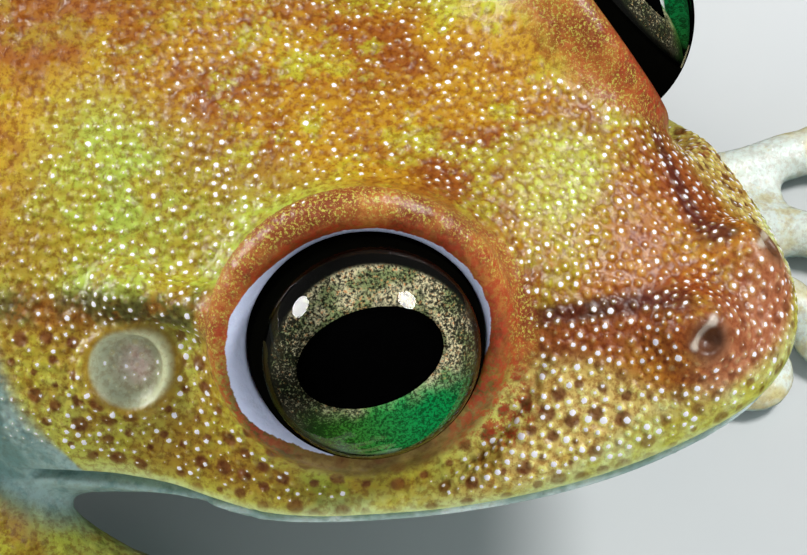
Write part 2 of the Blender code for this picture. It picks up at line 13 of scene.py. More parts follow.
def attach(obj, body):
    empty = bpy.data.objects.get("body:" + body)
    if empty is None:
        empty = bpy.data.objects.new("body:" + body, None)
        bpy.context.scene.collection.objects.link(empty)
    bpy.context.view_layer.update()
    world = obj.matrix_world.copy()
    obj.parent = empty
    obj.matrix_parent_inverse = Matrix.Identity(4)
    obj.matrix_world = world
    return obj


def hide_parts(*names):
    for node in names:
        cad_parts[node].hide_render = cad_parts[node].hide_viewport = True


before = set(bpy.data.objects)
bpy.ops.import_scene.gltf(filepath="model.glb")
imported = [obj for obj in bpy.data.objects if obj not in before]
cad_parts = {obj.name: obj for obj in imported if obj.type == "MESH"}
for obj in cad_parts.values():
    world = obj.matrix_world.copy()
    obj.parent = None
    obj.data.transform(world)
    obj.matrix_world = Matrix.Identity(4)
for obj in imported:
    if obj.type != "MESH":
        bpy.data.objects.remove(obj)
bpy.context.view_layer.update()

MM = 0.001
FAR = 9.0
SET_BACK = -0.48

# The camera's direction and its right side, outwards, forward and up on the head's near side
CAMERA_BACK = (0.586, 0.286, 0.758)
CAMERA_RIGHT = (-0.447, 0.895, 0.01)
CAMERA_DISTANCE = 120.0
SENSOR_WIDTH = 36.0
PIXELS_PER_MM = 62.8
PHOTO_SIZE = (807, 555)
HEAD_PIXEL = (475.0, 176.0)

# Lamps: the way to each along the camera's right, up and back, then distance, size and power.
# Two stand where their glints in the eye are, and a third fills from below the camera.
LAMPS = (
    ("lamp_left", (-0.865, 0.433, 0.251), 0.25, 0.075, 0.52),
    ("lamp_right", (0.601, 0.585, 0.545), 0.25, 0.075, 0.52),
    ("lamp_fill", (0.3, -0.6, 0.6), 0.35, 0.3, 0.45),
)

# Shapes shared with the solids, in millimetres
# A place on the head is given from midway between the eyes: outwards, forward and up.
HEAD_PLACE = (0.0, -12.0, 7.3)
HEAD_PITCH = math.radians(8.0)
SNOUT_REACH = 5.52

# Stations along the head: the distance forward of the eyes, and a size there
LIP_WIDTH = (
    (-8, 4.4), (-6, 5.0), (-4, 5.7), (-2, 5.85), (0, 5.62), (2, 4.85), (4, 3.44), (5, 2.38), (6.5, 1.2)
)
CANTHUS_WIDTH = ((-8, 2.9), (-4, 2.6), (-2, 2.4), (0, 2.2), (2, 1.8), (3, 1.4), (4.7, 1.05), (6.5, 0.9))
SIDE_BULGE = ((-8, 0.9), (-5, 0.8), (-3.7, 0.75), (-1.5, 0.4), (1.5, 0.0), (3.5, -0.15), (5, 0.0), (6.5, 0.0))
CROWN_HEIGHT = (
    (-8, 0.8), (-4, 1.05), (-1, 1.1), (1, 0.9), (2, 0.55), (3, 0.1), (4, -0.28), (5, -0.55), (6.5, -0.9)
)
LIP_HEIGHT = ((-8, -2.9), (-6, -3.0), (-4, -3.0), (0, -2.85), (2, -2.6), (4, -2.2), (5, -1.95), (6.5, -1.7))
THROAT_HEIGHT = ((-8, -4.7), (-4, -4.6), (0, -4.4), (3, -3.8), (5, -3.0), (6.5, -2.4))

EYE_RADIUS = 1.86
EYE_GAP = 0.02
EYE_OUT = 3.85
LID_RADIUS = 2.35
# The lid's rim: its radius, its thickness, and the share by which its high side is thicker
LID_RIM = (2.16, 0.24, 0.4)
LID_HIGH = (-0.6, -0.3, 0.7)
LID_FACING = (0.76, 0.5, 0.42)
LID_RIM_SHIFT = (0.0, -0.12, 0.08)

NOSTRIL = (1.12, 4.65, -0.35)
NOSTRIL_RADIUS = 0.2
TYMPANUM = (4.9, -3.55, -1.3)
TYMPANUM_FACING = (0.94, 0.05, 0.34)
TYMPANUM_RADIUS = 0.66
NOSTRIL_SWELLING, NOSTRIL_SLANT = (-0.27, -0.3, -0.22), (0.6, 0.25, 0.35)
EAR_FOLD = ((4.4, -2.3, 0.0), (4.5, -3.9, -0.2), (4.8, -5.2, -1.4), (4.7, -6.0, -2.8))
# The mouth: how far below the lip it runs, how it curves down behind the bend, and its size
MOUTH_DROP, MOUTH_CURVE, MOUTH_BEND, MOUTH_CORNER = 0.18, 0.14, -3.2, -4.9
MOUTH_OPENING, MOUTH_DEPTH = 0.13, 0.3

# Stations along the trunk: a place along Y, and a size there
TRUNK_WIDTH = ((-9, 4.2), (-5, 4.9), (0, 5.6), (4, 5.9), (8, 5.3), (11, 4.2), (14, 3.2), (17, 2.1), (19, 1.0))
TRUNK_TOP = ((-9, 7.5), (-5, 7.9), (0, 8.8), (4, 9.3), (8, 8.9), (12, 7.3), (15, 5.6), (17, 4.3), (19, 3.2))
TRUNK_BOTTOM = (
    (-9, 3.0), (-5, 1.9), (0, 0.7), (5, -0.1), (9, -0.1), (12, 0.4), (15, 1.1), (17, 1.6), (19, 2.2)
)
VENT = 18.0

# Roots of the limbs as round masses: the middle, the radii, the reach and the blend into the trunk
SHOULDER_MASS = ((4.1, -6.9, 3.5), (1.8, 2.3, 2.0), (2.3, 2.6, 2.3), 1.5)
HIP_MASS = ((2.9, 12.6, 4.0), (2.1, 2.4, 2.0), (3, 3, 2.6), 1.8)
# The ridge over the hip bone runs from its front end to its back end
RIDGE_FRONT, RIDGE_BACK = (2.6, 3.5, 7.9), (0.9, 15.5, 4.9)
RIDGE_THICKNESS = ((0, 0.5), (1, 0.6))

# Joints of the limbs: outwards from the midline, along Y, and up
ARMS = {
    "right": {"shoulder": (4.2, -6.9, 4.0), "elbow": (7.2, -2.4, 2.2), "wrist": (6.2, -10.2, 1.3)},
    "left": {"shoulder": (4.2, -6.9, 4.0), "elbow": (7.2, -4.0, 2.2), "wrist": (5.9, -11.9, 1.2)},
}
LEG = {
    "hip": (2.9, 13.2, 4.0),
    "knee": (13.5, 2.0, 4.2),
    "heel": (6.9, 18.4, 2.9),
    "instep": (13.0, 11.4, 1.1),
}

# Thickness of the limbs, as radii along each from 0 to 1
UPPER_ARM_THICKNESS = ((0, 1.5), (0.4, 1.35), (0.8, 1.05), (1, 1.0))
FOREARM_THICKNESS = ((0, 1.05), (0.3, 1.28), (0.7, 0.95), (1, 0.72))
THIGH_THICKNESS = ((0, 2.3), (0.25, 2.45), (0.6, 2.1), (0.9, 1.6), (1, 1.5))
SHANK_THICKNESS = ((0, 1.5), (0.15, 1.55), (0.38, 1.75), (0.75, 1.15), (0.93, 0.95), (1, 1.05))
TARSUS_THICKNESS = ((0, 1.0), (0.2, 0.95), (0.6, 0.8), (1, 0.8))
PALM_SIZE, PALM_HEIGHT = (1.35, 1.25, 0.68), 0.72
SOLE_SIZE, SOLE_HEIGHT = (1.35, 1.9, 0.64), 0.66

# Digits from the innermost: heading from straight ahead, turned outwards, and length
FINGERS = ((-28, 3.5), (-4, 4.3), (20, 6.0), (50, 5.0))
FINGER_RADIUS = 0.36
FINGER_DISC = (0.78, 0.82, 0.42)
PALM_WEB = (0.42, 0.4, 0.38)
TOES = ((-14, 3.6), (0, 5.0), (12, 6.9), (24, 8.6), (38, 7.0))
TOE_RADIUS = 0.36
TOE_DISC = (0.7, 0.74, 0.4)
FOOT_WEB = (0.5, 0.5, 0.55, 0.6)
DIGIT_HEIGHT = 0.42
# Thickness along a digit, as shares of its radius, and the place of its joint
DIGIT_SWELLING = ((0, 1.3), (0.3, 0.95), (0.55, 1.12), (0.75, 0.9), (1, 1.0))
DIGIT_JOINT = 0.58
WEB_HEIGHT, WEB_HALF = 0.36, 0.26


def blended_least(a, b, blend):
    """The smaller of two distances, with the crease between them filled over blend."""
    share = np.clip(blend - np.abs(a - b), 0, None) / blend
    return np.minimum(a, b) - share * share * blend / 4


def blended_most(a, b, blend):
    return -blended_least(-a, -b, blend)


def profile(stations):
    """A smooth curve through (place, size) stations, as a function of place."""
    places, sizes = np.array(stations, float).T
    slopes = np.gradient(sizes, places)

    def curve(at):
        at = np.clip(at, places[0], places[-1])
        i = np.clip(np.searchsorted(places, at) - 1, 0, len(places) - 2)
        span = places[i + 1] - places[i]
        t = (at - places[i]) / span
        before = (1 + 2 * t) * (1 - t) ** 2 * sizes[i] + t * (1 - t) ** 2 * span * slopes[i]
        after = t * t * (3 - 2 * t) * sizes[i + 1] - t * t * (1 - t) * span * slopes[i + 1]
        return before + after

    return curve


def offsets(x, y, z, centre):
    """How far coordinates are from a place, along each axis."""
    return x - centre[0], y - centre[1], z - centre[2]


def ball(centre, radius):
    def distance(x, y, z):
        dx, dy, dz = offsets(x, y, z, centre)
        return np.sqrt(dx**2 + dy**2 + dz**2) - radius

    return distance


def egg(centre, radii, turn=Matrix.Identity(3)):
    """An ellipsoid. Its axes are the rows of turn."""

    def distance(x, y, z):
        dx, dy, dz = offsets(x, y, z, centre)
        near, far = 0.0, 0.0
        for row, radius in zip(turn, radii):
            reach = (row[0] * dx + row[1] * dy + row[2] * dz) / radius
            near = near + reach * reach
            far = far + reach * reach / radius**2
        near, far = np.sqrt(near), np.sqrt(far) + 1e-9
        return near * (near - 1) / far

    return distance


def taper(start, end, stations):
    """A round bar from start to end. Stations give its radius along it, from 0 to 1."""
    start, end = np.array(start, float), np.array(end, float)
    axis = end - start
    span = axis @ axis
    radius = profile(stations) if len(stations) > 2 else None
    first, last = stations[0][1], stations[-1][1]

    def distance(x, y, z):
        dx, dy, dz = offsets(x, y, z, start)
        t = np.clip((dx * axis[0] + dy * axis[1] + dz * axis[2]) / span, 0, 1)
        away = np.sqrt((dx - t * axis[0]) ** 2 + (dy - t * axis[1]) ** 2 + (dz - t * axis[2]) ** 2)
        return away - (radius(t) if radius else first + (last - first) * t)

    return distance


def hoop(centre, facing, high, radius, thickness, swell):
    """A ring round the direction facing, thicker by the share swell on its high side."""

    def distance(x, y, z):
        dx, dy, dz = offsets(x, y, z, centre)
        along = dx * facing[0] + dy * facing[1] + dz * facing[2]
        across = np.sqrt(np.maximum(dx**2 + dy**2 + dz**2 - along**2, 1e-6))
        rise = (dx * high[0] + dy * high[1] + dz * high[2]) / across
        return np.sqrt((across - radius) ** 2 + along**2) - thickness * (1 + swell * rise)

    return distance


def open_side(centre, facing, radius):
    """The half of a ball that faces a direction."""

    def distance(x, y, z):
        dx, dy, dz = offsets(x, y, z, centre)
        along = dx * facing[0] + dy * facing[1] + dz * facing[2]
        return np.maximum(-along, ball(centre, radius)(x, y, z))

    return distance


def eardrum_height(away):
    """How far the eardrum stands out, by the distance from its middle."""
    rim = 0.13 * np.exp(-(((away - TYMPANUM_RADIUS) / 0.15) ** 2))
    dish = 0.07 / (1 + np.exp((away - TYMPANUM_RADIUS * 0.9) / 0.05))
    return rim - dish


def web(root, left, right, height, half_thickness):
    """A level three-cornered sheet of skin, given by its corners seen from above."""
    corners = [np.array(corner[:2], float) for corner in (root, left, right)]
    middle = sum(corners) / 3

    def distance(x, y, z):
        edge = -FAR
        for i in range(3):
            a, b = corners[i], corners[(i + 1) % 3]
            out = np.array((b[1] - a[1], a[0] - b[0]))
            out = out / np.hypot(*out)
            if (middle - a) @ out > 0:
                out = -out
            edge = np.maximum(edge, (x - a[0]) * out[0] + (y - a[1]) * out[1])
        return blended_most(edge, np.abs(z - height) - half_thickness, 0.3) + 0 * (x + y + z)

    return distance


class Clay:
    """A block of sampled distances in millimetres, below zero inside the flesh."""

    def __init__(self, low, high, step):
        self.low, self.step = np.array(low, float), step
        counts = np.ceil((np.array(high, float) - self.low) / step).astype(int) + 1
        self.axes = [self.low[i] + step * np.arange(counts[i]) for i in range(3)]
        self.depth = np.full(counts, FAR)

    def block(self, low, high):
        """The slices of the samples in a box, and their coordinates."""
        cut = tuple(slice(*np.searchsorted(self.axes[i], (low[i], high[i]))) for i in range(3))
        x, y, z = (self.axes[i][cut[i]] for i in range(3))
        return cut, (x[:, None, None], y[None, :, None], z[None, None, :])

    def add(self, shape, middle, reach, blend):
        """Joins a shape that lies within reach of middle, with a soft crease."""
        middle, reach = np.array(middle, float), np.array(reach) + 1.2 * blend + 0.4
        cut, at = self.block(middle - reach, middle + reach)
        self.depth[cut] = blended_least(self.depth[cut], shape(*at), blend)

    def carve(self, shape, middle, reach, blend):
        """Cuts a shape out."""
        middle, reach = np.array(middle, float), np.array(reach) + blend + 0.3
        cut, at = self.block(middle - reach, middle + reach)
        self.depth[cut] = blended_most(self.depth[cut], -shape(*at), blend)

    def emboss(self, middle, normal, reach, height):
        """Raises the surface round an axis by height, a function of the distance from it."""
        middle = np.array(middle, float)
        cut, (x, y, z) = self.block(middle - reach, middle + reach)
        dx, dy, dz = offsets(x, y, z, middle)
        along = dx * normal[0] + dy * normal[1] + dz * normal[2]
        away = np.sqrt(np.maximum(dx**2 + dy**2 + dz**2 - along**2, 0))
        self.depth[cut] = self.depth[cut] - height(away)

    def window(self, low, high):
        """The part of the block in a box, empty, and where it belongs."""
        cut, at = self.block(low, high)
        part = Clay(low, low, self.step)
        part.axes = [self.axes[i][cut[i]] for i in range(3)]
        part.depth = np.full([len(axis) for axis in part.axes], FAR)
        return cut, part

    def join(self, low, high, blend, sculpt, *details):
        """Sculpts flesh of its own in a box, and grows it onto the rest."""
        cut, part = self.window(low, high)
        sculpt(part, *details)
        self.depth[cut] = blended_least(self.depth[cut], part.depth, blend)

    def surface(self):
        """Points and faces of the surface."""
        grid = openvdb.FloatGrid(FAR)
        grid.copyFromArray(np.ascontiguousarray(self.depth))
        grid.transform = openvdb.createLinearTransform(self.step)
        points, triangles, quads = grid.convertToPolygons(0.0, 0.0)
        return points + self.low, triangles[:, ::-1].tolist() + quads[:, ::-1].tolist()


class Probe(Clay):
    """The same flesh, measured only at given points."""

    def __init__(self, points):
        self.points, self.depth = points, np.full(len(points), FAR)

    def block(self, low, high):
        inside = np.all((self.points >= low) & (self.points <= high), axis=1)
        cut = np.nonzero(inside)[0]
        return cut, tuple(self.points[cut].T)

    def window(self, low, high):
        cut, _ = self.block(low, high)
        return cut, Probe(self.points[cut])


def on_side(side, place):
    """A place or way given for the left side, on the side wanted."""
    return (side * place[0], place[1], place[2])


def head_spot(out, ahead, up):
    """A place on the head, as a place in the world."""
    swing_ahead, swing_up = math.cos(HEAD_PITCH), math.sin(HEAD_PITCH)
    return (
        HEAD_PLACE[0] + out,
        HEAD_PLACE[1] - ahead * swing_ahead + up * swing_up,
        HEAD_PLACE[2] + ahead * swing_up + up * swing_ahead,
    )


def head_way(out, ahead, up):
    """A direction on the head, as a direction in the world."""
    spot, origin = head_spot(out, ahead, up), head_spot(0, 0, 0)
    return Vector([a - b for a, b in zip(spot, origin)]).normalized()


def on_head(x, y, z):
    """World coordinates as distances outwards, forward and up on the head."""
    dy, dz = y - HEAD_PLACE[1], z - HEAD_PLACE[2]
    ahead = -dy * math.cos(HEAD_PITCH) + dz * math.sin(HEAD_PITCH)
    up = dy * math.sin(HEAD_PITCH) + dz * math.cos(HEAD_PITCH)
    return np.abs(x), ahead, up


lip_width, canthus_width, side_bulge = profile(LIP_WIDTH), profile(CANTHUS_WIDTH), profile(SIDE_BULGE)
crown_height, lip_height, throat_height = profile(CROWN_HEIGHT), profile(LIP_HEIGHT), profile(THROAT_HEIGHT)
trunk_width, trunk_top, trunk_bottom = profile(TRUNK_WIDTH), profile(TRUNK_TOP), profile(TRUNK_BOTTOM)


def skull(x, y, z):
    """The head without its eyes: crown, sides down to the lip, throat and cut-off snout."""
    out, ahead, up = on_head(x, y, z)
    lip, throat, crown = lip_height(ahead), throat_height(ahead), crown_height(ahead)
    wide = lip_width(ahead)
    rise = np.clip((up - lip) / (crown - lip), 0, 1.1)
    side = wide + (canthus_width(ahead) - wide) * rise + side_bulge(ahead) * 4 * rise * (1 - rise)
    slope = (canthus_width(ahead) - wide) / (crown - lip)
    cheek = (out - side) / np.sqrt(1 + slope**2)
    top = up - crown + 0.02 * out**2
    deep = lip - throat
    jaw = ((out / wide) ** 1.7 + (np.clip(lip - up, 0, None) / deep) ** 1.7) ** (1 / 1.7) - 1
    jaw = jaw * 0.8 * np.minimum(wide, deep * 1.3)
    tip = ahead - SNOUT_REACH + 0.16 * out**2 + 0.33 * (up + 1.5) ** 2
    upper = blended_most(top, cheek, 0.9)
    return blended_most(blended_most(upper, jaw, 0.35), tip * 0.9, 0.9)


def trunk(x, y, z):
    wide, top, bottom = trunk_width(y), trunk_top(y), trunk_bottom(y)
    middle = bottom + 0.46 * (top - bottom)
    tall = np.where(z > middle, top - middle, middle - bottom)
    size = ((np.abs(x) / wide) ** 2.3 + (np.abs(z - middle) / tall) ** 2.3) ** (1 / 2.3)
    loaf = (size - 1) * np.minimum(wide, tall) * 0.95
    ends = np.maximum(y - VENT, -7.5 - y)
    return blended_most(loaf, ends, 1.5)


def sculpt_body(clay):
    """The trunk and head, with the roots of the limbs."""
    clay.add(trunk, (0, 5, 4), (9, 18, 8), 0.1)
    clay.add(skull, head_spot(0, -1, -1.5), (7.5, 9, 6), 1.6)
    for side in (-1, 1):
        # Shoulder, hip and the ridge along the back over the hip bone
        for middle, radii, reach, blend in (SHOULDER_MASS, HIP_MASS):
            middle = on_side(side, middle)
            clay.add(egg(middle, radii), middle, reach, blend)
        front, back = (on_side(side, end) for end in (RIDGE_FRONT, RIDGE_BACK))
        clay.add(taper(front, back, RIDGE_THICKNESS), (side * 2, 9.5, 6.4), (2, 7, 2.6), 1.6)
        # Eyelids: a bulge on the head with a rolled rim, open over the socket for the eyeball
        eye = head_spot(side * EYE_OUT, 0, 0)
        facing = head_way(*on_side(side, LID_FACING))
        clay.add(ball(eye, LID_RADIUS), eye, LID_RADIUS, 1.0)
        clay.carve(open_side(eye, facing, LID_RADIUS + 0.4), eye, LID_RADIUS + 0.4, 0.5)
        rim = head_spot(side * (EYE_OUT + LID_RIM_SHIFT[0]), LID_RIM_SHIFT[1], LID_RIM_SHIFT[2])
        high = head_way(*on_side(side, LID_HIGH))
        clay.add(hoop(rim, facing, high, *LID_RIM), rim, LID_RADIUS + 0.4, 0.25)
        clay.carve(ball(eye, EYE_RADIUS + EYE_GAP), eye, EYE_RADIUS + EYE_GAP, 0.05)
        # The fold of skin from the eye over the eardrum to the shoulder
        fold = [head_spot(*on_side(side, spot)) for spot in EAR_FOLD]
        for start, end in zip(fold, fold[1:]):
            middle = [(a + b) / 2 for a, b in zip(start, end)]
            clay.add(taper(start, end, ((0, 0.3), (1, 0.3))), middle, 1.4, 0.45)
        # Eardrum: a low ring round a shallow dish
        drum = head_spot(*on_side(side, TYMPANUM))
        normal = head_way(*on_side(side, TYMPANUM_FACING))
        clay.emboss(drum, normal, 1.5, eardrum_height)
        # Nostril: a low swelling and a slanted pit in it
        nose = head_spot(*on_side(side, NOSTRIL))
        swelling, pit_end = (
            head_spot(*on_side(side, [a + b for a, b in zip(NOSTRIL, shift)]))
            for shift in (NOSTRIL_SWELLING, NOSTRIL_SLANT)
        )
        clay.add(ball(swelling, 0.5), nose, 0.9, 0.7)
        pit = taper(nose, pit_end, ((0, NOSTRIL_RADIUS), (1, NOSTRIL_RADIUS)))
        clay.carve(pit, nose, 0.9, 0.12)
    # The mouth runs round the snout just below the lip, back to a corner below the eardrum
    middle, reach = np.array(head_spot(0, 0, -2.5)), np.array((6.6, 6.6, 2.6))
    cut, at = clay.block(middle - reach, middle + reach)
    out, ahead, up = on_head(*at)
    drop = MOUTH_DROP + MOUTH_CURVE * np.clip(MOUTH_BEND - ahead, 0, None) ** 2
    near = np.abs(up - lip_height(ahead) + drop) - MOUTH_OPENING
    flesh = clay.depth[cut]
    slit = np.maximum(np.maximum(near, -flesh - MOUTH_DEPTH), MOUTH_CORNER - ahead)
    clay.depth[cut] = blended_most(flesh, -slit, 0.14)


def digit(clay, root, heading, length, radius, disc, side, height=DIGIT_HEIGHT):
    """One finger or toe with its joints and its disc. Returns a function for places along it."""
    way = np.array((side * math.sin(math.radians(heading)), -math.cos(math.radians(heading))))

    def along(t, up=height):
        spot = np.array(root[:2]) + way * length * t
        return (spot[0], spot[1], up)

    tip = 1 - disc[1] / length
    bones = [(place, radius * share) for place, share in DIGIT_SWELLING]
    clay.add(taper(root, along(tip), bones), along(0.5), np.abs(way * length / 2).tolist() + [1.5], 0.25)
    clay.add(ball(along(DIGIT_JOINT, height + 0.02), radius * 1.2), along(DIGIT_JOINT), 0.6, 0.2)
    turn = Matrix(((way[1], -way[0], 0), (way[0], way[1], 0), (0, 0, 1)))
    clay.add(egg(along(tip, height * 0.85), disc, turn), along(tip), 1.1, 0.22)
    return along


def sculpt_fan(clay, side, roots, digits, sizes, webs, narrow, reach):
    """A fan of digits and the webs between them."""
    fan = []
    for root, (heading, length) in zip(roots, digits):
        fan.append((root, digit(clay, root, heading, length, *sizes, side)))
    for (root, one), (next_root, other), share in zip(fan, fan[1:], webs):
        fork = ((root[0] + next_root[0]) / 2, (root[1] + next_root[1]) / 2 + 0.5)
        sheet = web(fork, one(share), other(share * narrow), WEB_HEIGHT, WEB_HALF)
        clay.add(sheet, one(0.4), reach, 0.3)


def sculpt_arm(clay, side, arm):
    """The upper arm, forearm, palm and fingers."""
    shoulder, elbow, wrist = (on_side(side, place) for place in arm.values())
    clay.add(taper(shoulder, elbow, UPPER_ARM_THICKNESS), elbow, (5, 6, 4), 0.1)
    clay.add(taper(elbow, wrist, FOREARM_THICKNESS), wrist, (3, 9, 3), 0.5)
    palm = (wrist[0] + side * 0.25, wrist[1] - 1.4, PALM_HEIGHT)
    clay.add(taper(wrist, palm, ((0, 0.72), (1, 0.75))), palm, (2, 3, 2), 0.4)
    clay.add(egg(palm, PALM_SIZE), palm, (1.7, 1.7, 1.2), 0.5)
    roots = []
    for i in range(len(FINGERS)):
        roots.append((palm[0] + side * (-0.75 + 0.5 * i), palm[1] - 0.55 + 0.13 * i, 0.5))
    sculpt_fan(clay, side, roots, FINGERS, (FINGER_RADIUS, FINGER_DISC), PALM_WEB, 1.0, (3, 3, 1))


def sculpt_upper_leg(clay, side):
    hip, knee, heel = (on_side(side, LEG[joint]) for joint in ("hip", "knee", "heel"))
    clay.add(taper(hip, knee, THIGH_THICKNESS), knee, (15, 16, 6), 0.1)
    clay.add(taper(knee, heel, SHANK_THICKNESS), heel, (10, 20, 6), 0.7)


def sculpt_lower_leg(clay, side):
    heel, instep = (on_side(side, LEG[joint]) for joint in ("heel", "instep"))
    clay.add(taper(heel, instep, TARSUS_THICKNESS), instep, (9, 10, 4), 0.1)
    sole = (instep[0] + side * 0.25, instep[1] - 2.2, SOLE_HEIGHT)
    clay.add(taper(instep, sole, ((0, 0.85), (1, 0.8))), sole, (2.5, 4, 2), 0.5)
    clay.add(egg(sole, SOLE_SIZE), sole, (2, 2.6, 1.4), 0.5)
    roots = []
    for i in range(len(TOES)):
        roots.append((sole[0] + side * (-0.85 + 0.42 * i), sole[1] - 0.9 + 0.3 * abs(i - 1.5), 0.5))
    sculpt_fan(clay, side, roots, TOES, (TOE_RADIUS, TOE_DISC), FOOT_WEB, 0.9, (4, 5, 1))


# The skin as one surface. Granules have a gap, a range of radii, a random seed and the least strength of the
# painted glint on their tops.
SKIN_STEP = 0.15
HEAD_GRANULES = (0.155, (0.05, 0.11), 7, 0.62)
BODY_GRANULES = (0.3, (0.1, 0.19), 9, 0.42)
GRANULE_HEIGHT = 0.034
SPOT_GAP, SPOT_RADIUS, SPOT_SEED = 0.34, (0.06, 0.17), 11
NEIGHBOURS = [(x, y, z) for x in (-1, 0, 1) for y in (-1, 0, 1) for z in (-1, 0, 1)]
SIDES = ((-1, "right"), (1, "left"))

# The eye: its axis outwards, forward and up, and the iris as a disc inside a clear dome
EYE_AXIS = (0.68, 0.48, 0.55)
EYE_ROLL = math.radians(19.0)
IRIS_HEIGHT = 0.77
IRIS_BULGE = 0.55
PUPIL = (1.17, 0.79)
PUPIL_SHIFT = (0.042, -0.051, 0.045)
PUPIL_BULGE = 0.25
# The iris rises to a low crest on its way in, and dips at the pupil's edge
IRIS_SINK, IRIS_CREST, IRIS_DIP, DIP_WIDTH = 0.02, 0.04, 0.05, 0.08
EYE_SIDES, BALL_RINGS, DOME_RINGS = 96, 32, 40


def sculpt_frog(clay):
    sculpt_body(clay)
    for side, label in SIDES:
        near, far = sorted((side * 1.0, side * 20.0))
        clay.join((near, -19, -1), (far, 1, 7), 0.7, sculpt_arm, side, ARMS[label])
        clay.join((near, -1, -1), (far, 21, 9), 0.7, sculpt_upper_leg, side)
        clay.join((near, -1, -1), (far, 21, 9), 0.35, sculpt_lower_leg, side)


def settle(points, rounds=2):
    """Moves points onto the true surface. Returns them and the outward directions there."""
    step = 0.02
    for lap in range(rounds + 1):
        depths = []
        for shift in ((0, 0, 0), (step, 0, 0), (0, step, 0), (0, 0, step)):
            probe = Probe(points + shift)
            sculpt_frog(probe)
            depths.append(probe.depth)
        slope = (np.stack(depths[1:], axis=1) - depths[0][:, None]) / step
        steep = np.maximum((slope**2).sum(axis=1), 0.05)
        move = np.clip(depths[0] / steep, -0.1, 0.1)
        if lap < rounds:
            points = points - slope * move[:, None]
    return points, slope / np.sqrt(steep)[:, None]


def refine(bm, wanted):
    """Splits in four the faces whose corners are all wanted, a function of points."""
    points = np.array([vert.co[:] for vert in bm.verts])
    chosen = wanted(points)
    edges = [edge for edge in bm.edges if chosen[edge.verts[0].index] and chosen[edge.verts[1].index]]
    bmesh.ops.subdivide_edges(bm, edges=edges, cuts=1, use_grid_fill=True)
    bm.verts.index_update()


def on_top(points):
    """Which points belong to what is seen from above, where the mesh is made finer."""
    out, ahead, up = on_head(*points.T)
    return (points[:, 2] > 1.3) | ((ahead > -7.0) & (up > -5.5) & (out < 7))


def on_details(points):
    """Which points belong to the head, where the mesh is made finer once more."""
    out, ahead, up = on_head(*points.T)
    return (ahead > -6.4) & (up > lip_height(ahead) - 0.7) & (out < 6.5)


def scatter(points, spacing, seed):
    """Picks points at random that stay a spacing apart."""
    order = np.random.default_rng(seed).permutation(len(points))
    cells, chosen = {}, []
    for i in order:
        point = points[i]
        home = tuple((point // spacing).astype(int))
        near = False
        for dx, dy, dz in NEIGHBOURS:
            for other in cells.get((home[0] + dx, home[1] + dy, home[2] + dz), ()):
                near = near or ((points[other] - point) ** 2).sum() < spacing**2
        if not near:
            cells.setdefault(home, []).append(i)
            chosen.append(i)
    return points[chosen]


def granules(points, seeds, sizes):
    """The height of a low dome on each seed, from 0 to 1, and the seed, at every point."""
    tree = KDTree(len(seeds))
    for i, seed in enumerate(seeds):
        tree.insert(seed, i)
    tree.balance()
    found = [tree.find(point)[1:] for point in points]
    owner = np.array([one[0] for one in found])
    away = np.array([one[1] for one in found])
    return np.maximum(0.0, 1 - (away / sizes[owner]) ** 2), owner


def raise_granules(points, normals):
    """Raises the granules' domes. Returns the strength of the painted glint at each point, from 0 to 1,
    highest on the domes' tops.
    """
    glint_domes = np.zeros(len(points))
    kinds = ((roughness_of(points), HEAD_GRANULES), (body_roughness(points, normals), BODY_GRANULES))
    for rough, (gap, radius, seed, least) in kinds:
        zone = rough > 0
        seeds = scatter(points[zone], gap, seed)
        chance = np.random.default_rng(seed + 1)
        sizes = chance.uniform(*radius, len(seeds))
        glint_strength = chance.uniform(0.0, 1.0, len(seeds)) ** 0.8
        # Painted glints are weaker along the midline, in bands along the back, and behind the head
        middle = ramp(np.abs(seeds[:, 0]), 0.5, 2.4)
        bands = np.sin(2.9 * seeds[:, 1] + 2.3 * np.sin(1.7 * seeds[:, 0]))
        glint_strength *= (0.65 + 0.35 * middle) * (0.85 + 0.15 * bands)
        ahead = on_head(*seeds.T)[1]
        glint_strength = glint_strength * (0.6 + 0.4 * ramp(ahead, -6.0, -3.0)) + 0.2 * ramp(ahead, 0.5, 2.5)
        glint_strength = np.minimum(glint_strength, 1.0)
        domes, owner = granules(points[zone], seeds, sizes)
        points[zone] += normals[zone] * (domes * rough[zone] * GRANULE_HEIGHT)[:, None]
        domes = domes * ramp(rough[zone], 0.1, 0.5)
        glint_domes[zone] = np.maximum(glint_domes[zone], domes * (least + 0.38 * glint_strength[owner]))
    return glint_domes


def make_skin():
    """The whole skin as one mesh, with its granules and colours."""
    clay = Clay((-20, -19.5, -0.75), (20, 21.5, 11), SKIN_STEP)
    sculpt_frog(clay)
    points, faces = clay.surface()
    bm = bmesh.new()
    verts = [bm.verts.new(point) for point in points]
    for face in faces:
        bm.faces.new([verts[i] for i in face])
    bm.verts.index_update()
    refine(bm, on_top)
    refine(bm, on_details)
    points, normals = settle(np.array([vert.co[:] for vert in bm.verts]))
    glint_domes = raise_granules(points, normals)
    for vert, point in zip(bm.verts, points):
        vert.co = (point[0], point[1], max(point[2], 0.0))
    mesh = bpy.data.meshes.new("skin")
    bm.to_mesh(mesh)
    bm.free()
    tint(mesh, points, normals, glint_domes)
    mesh.transform(Matrix.Translation((0, SET_BACK * MM, 0)) @ Matrix.Scale(MM, 4))
    mesh.shade_smooth()
    return add_object("skin", mesh)


def ramp(value, low, high):
    """Rises smoothly from 0 at low to 1 at high."""
    t = np.clip((value - low) / (high - low), 0, 1)
    return t * t * (3 - 2 * t)


def near_line(at, start, end, across=None):
    """Distances from places on the head to a line between two others.

    They are measured flat across a direction, if one is given.
    """
    start, end = np.array(start, float), np.array(end, float)
    if across:
        across = np.array(across) / np.linalg.norm(across)
        at, start, end = [one - (one @ across)[..., None] * across for one in (at, start, end)]
    axis = end - start
    t = np.clip(((at - start) @ axis) / (axis @ axis), 0, 1)
    return np.sqrt(((at - start - t[:, None] * axis) ** 2).sum(axis=1))


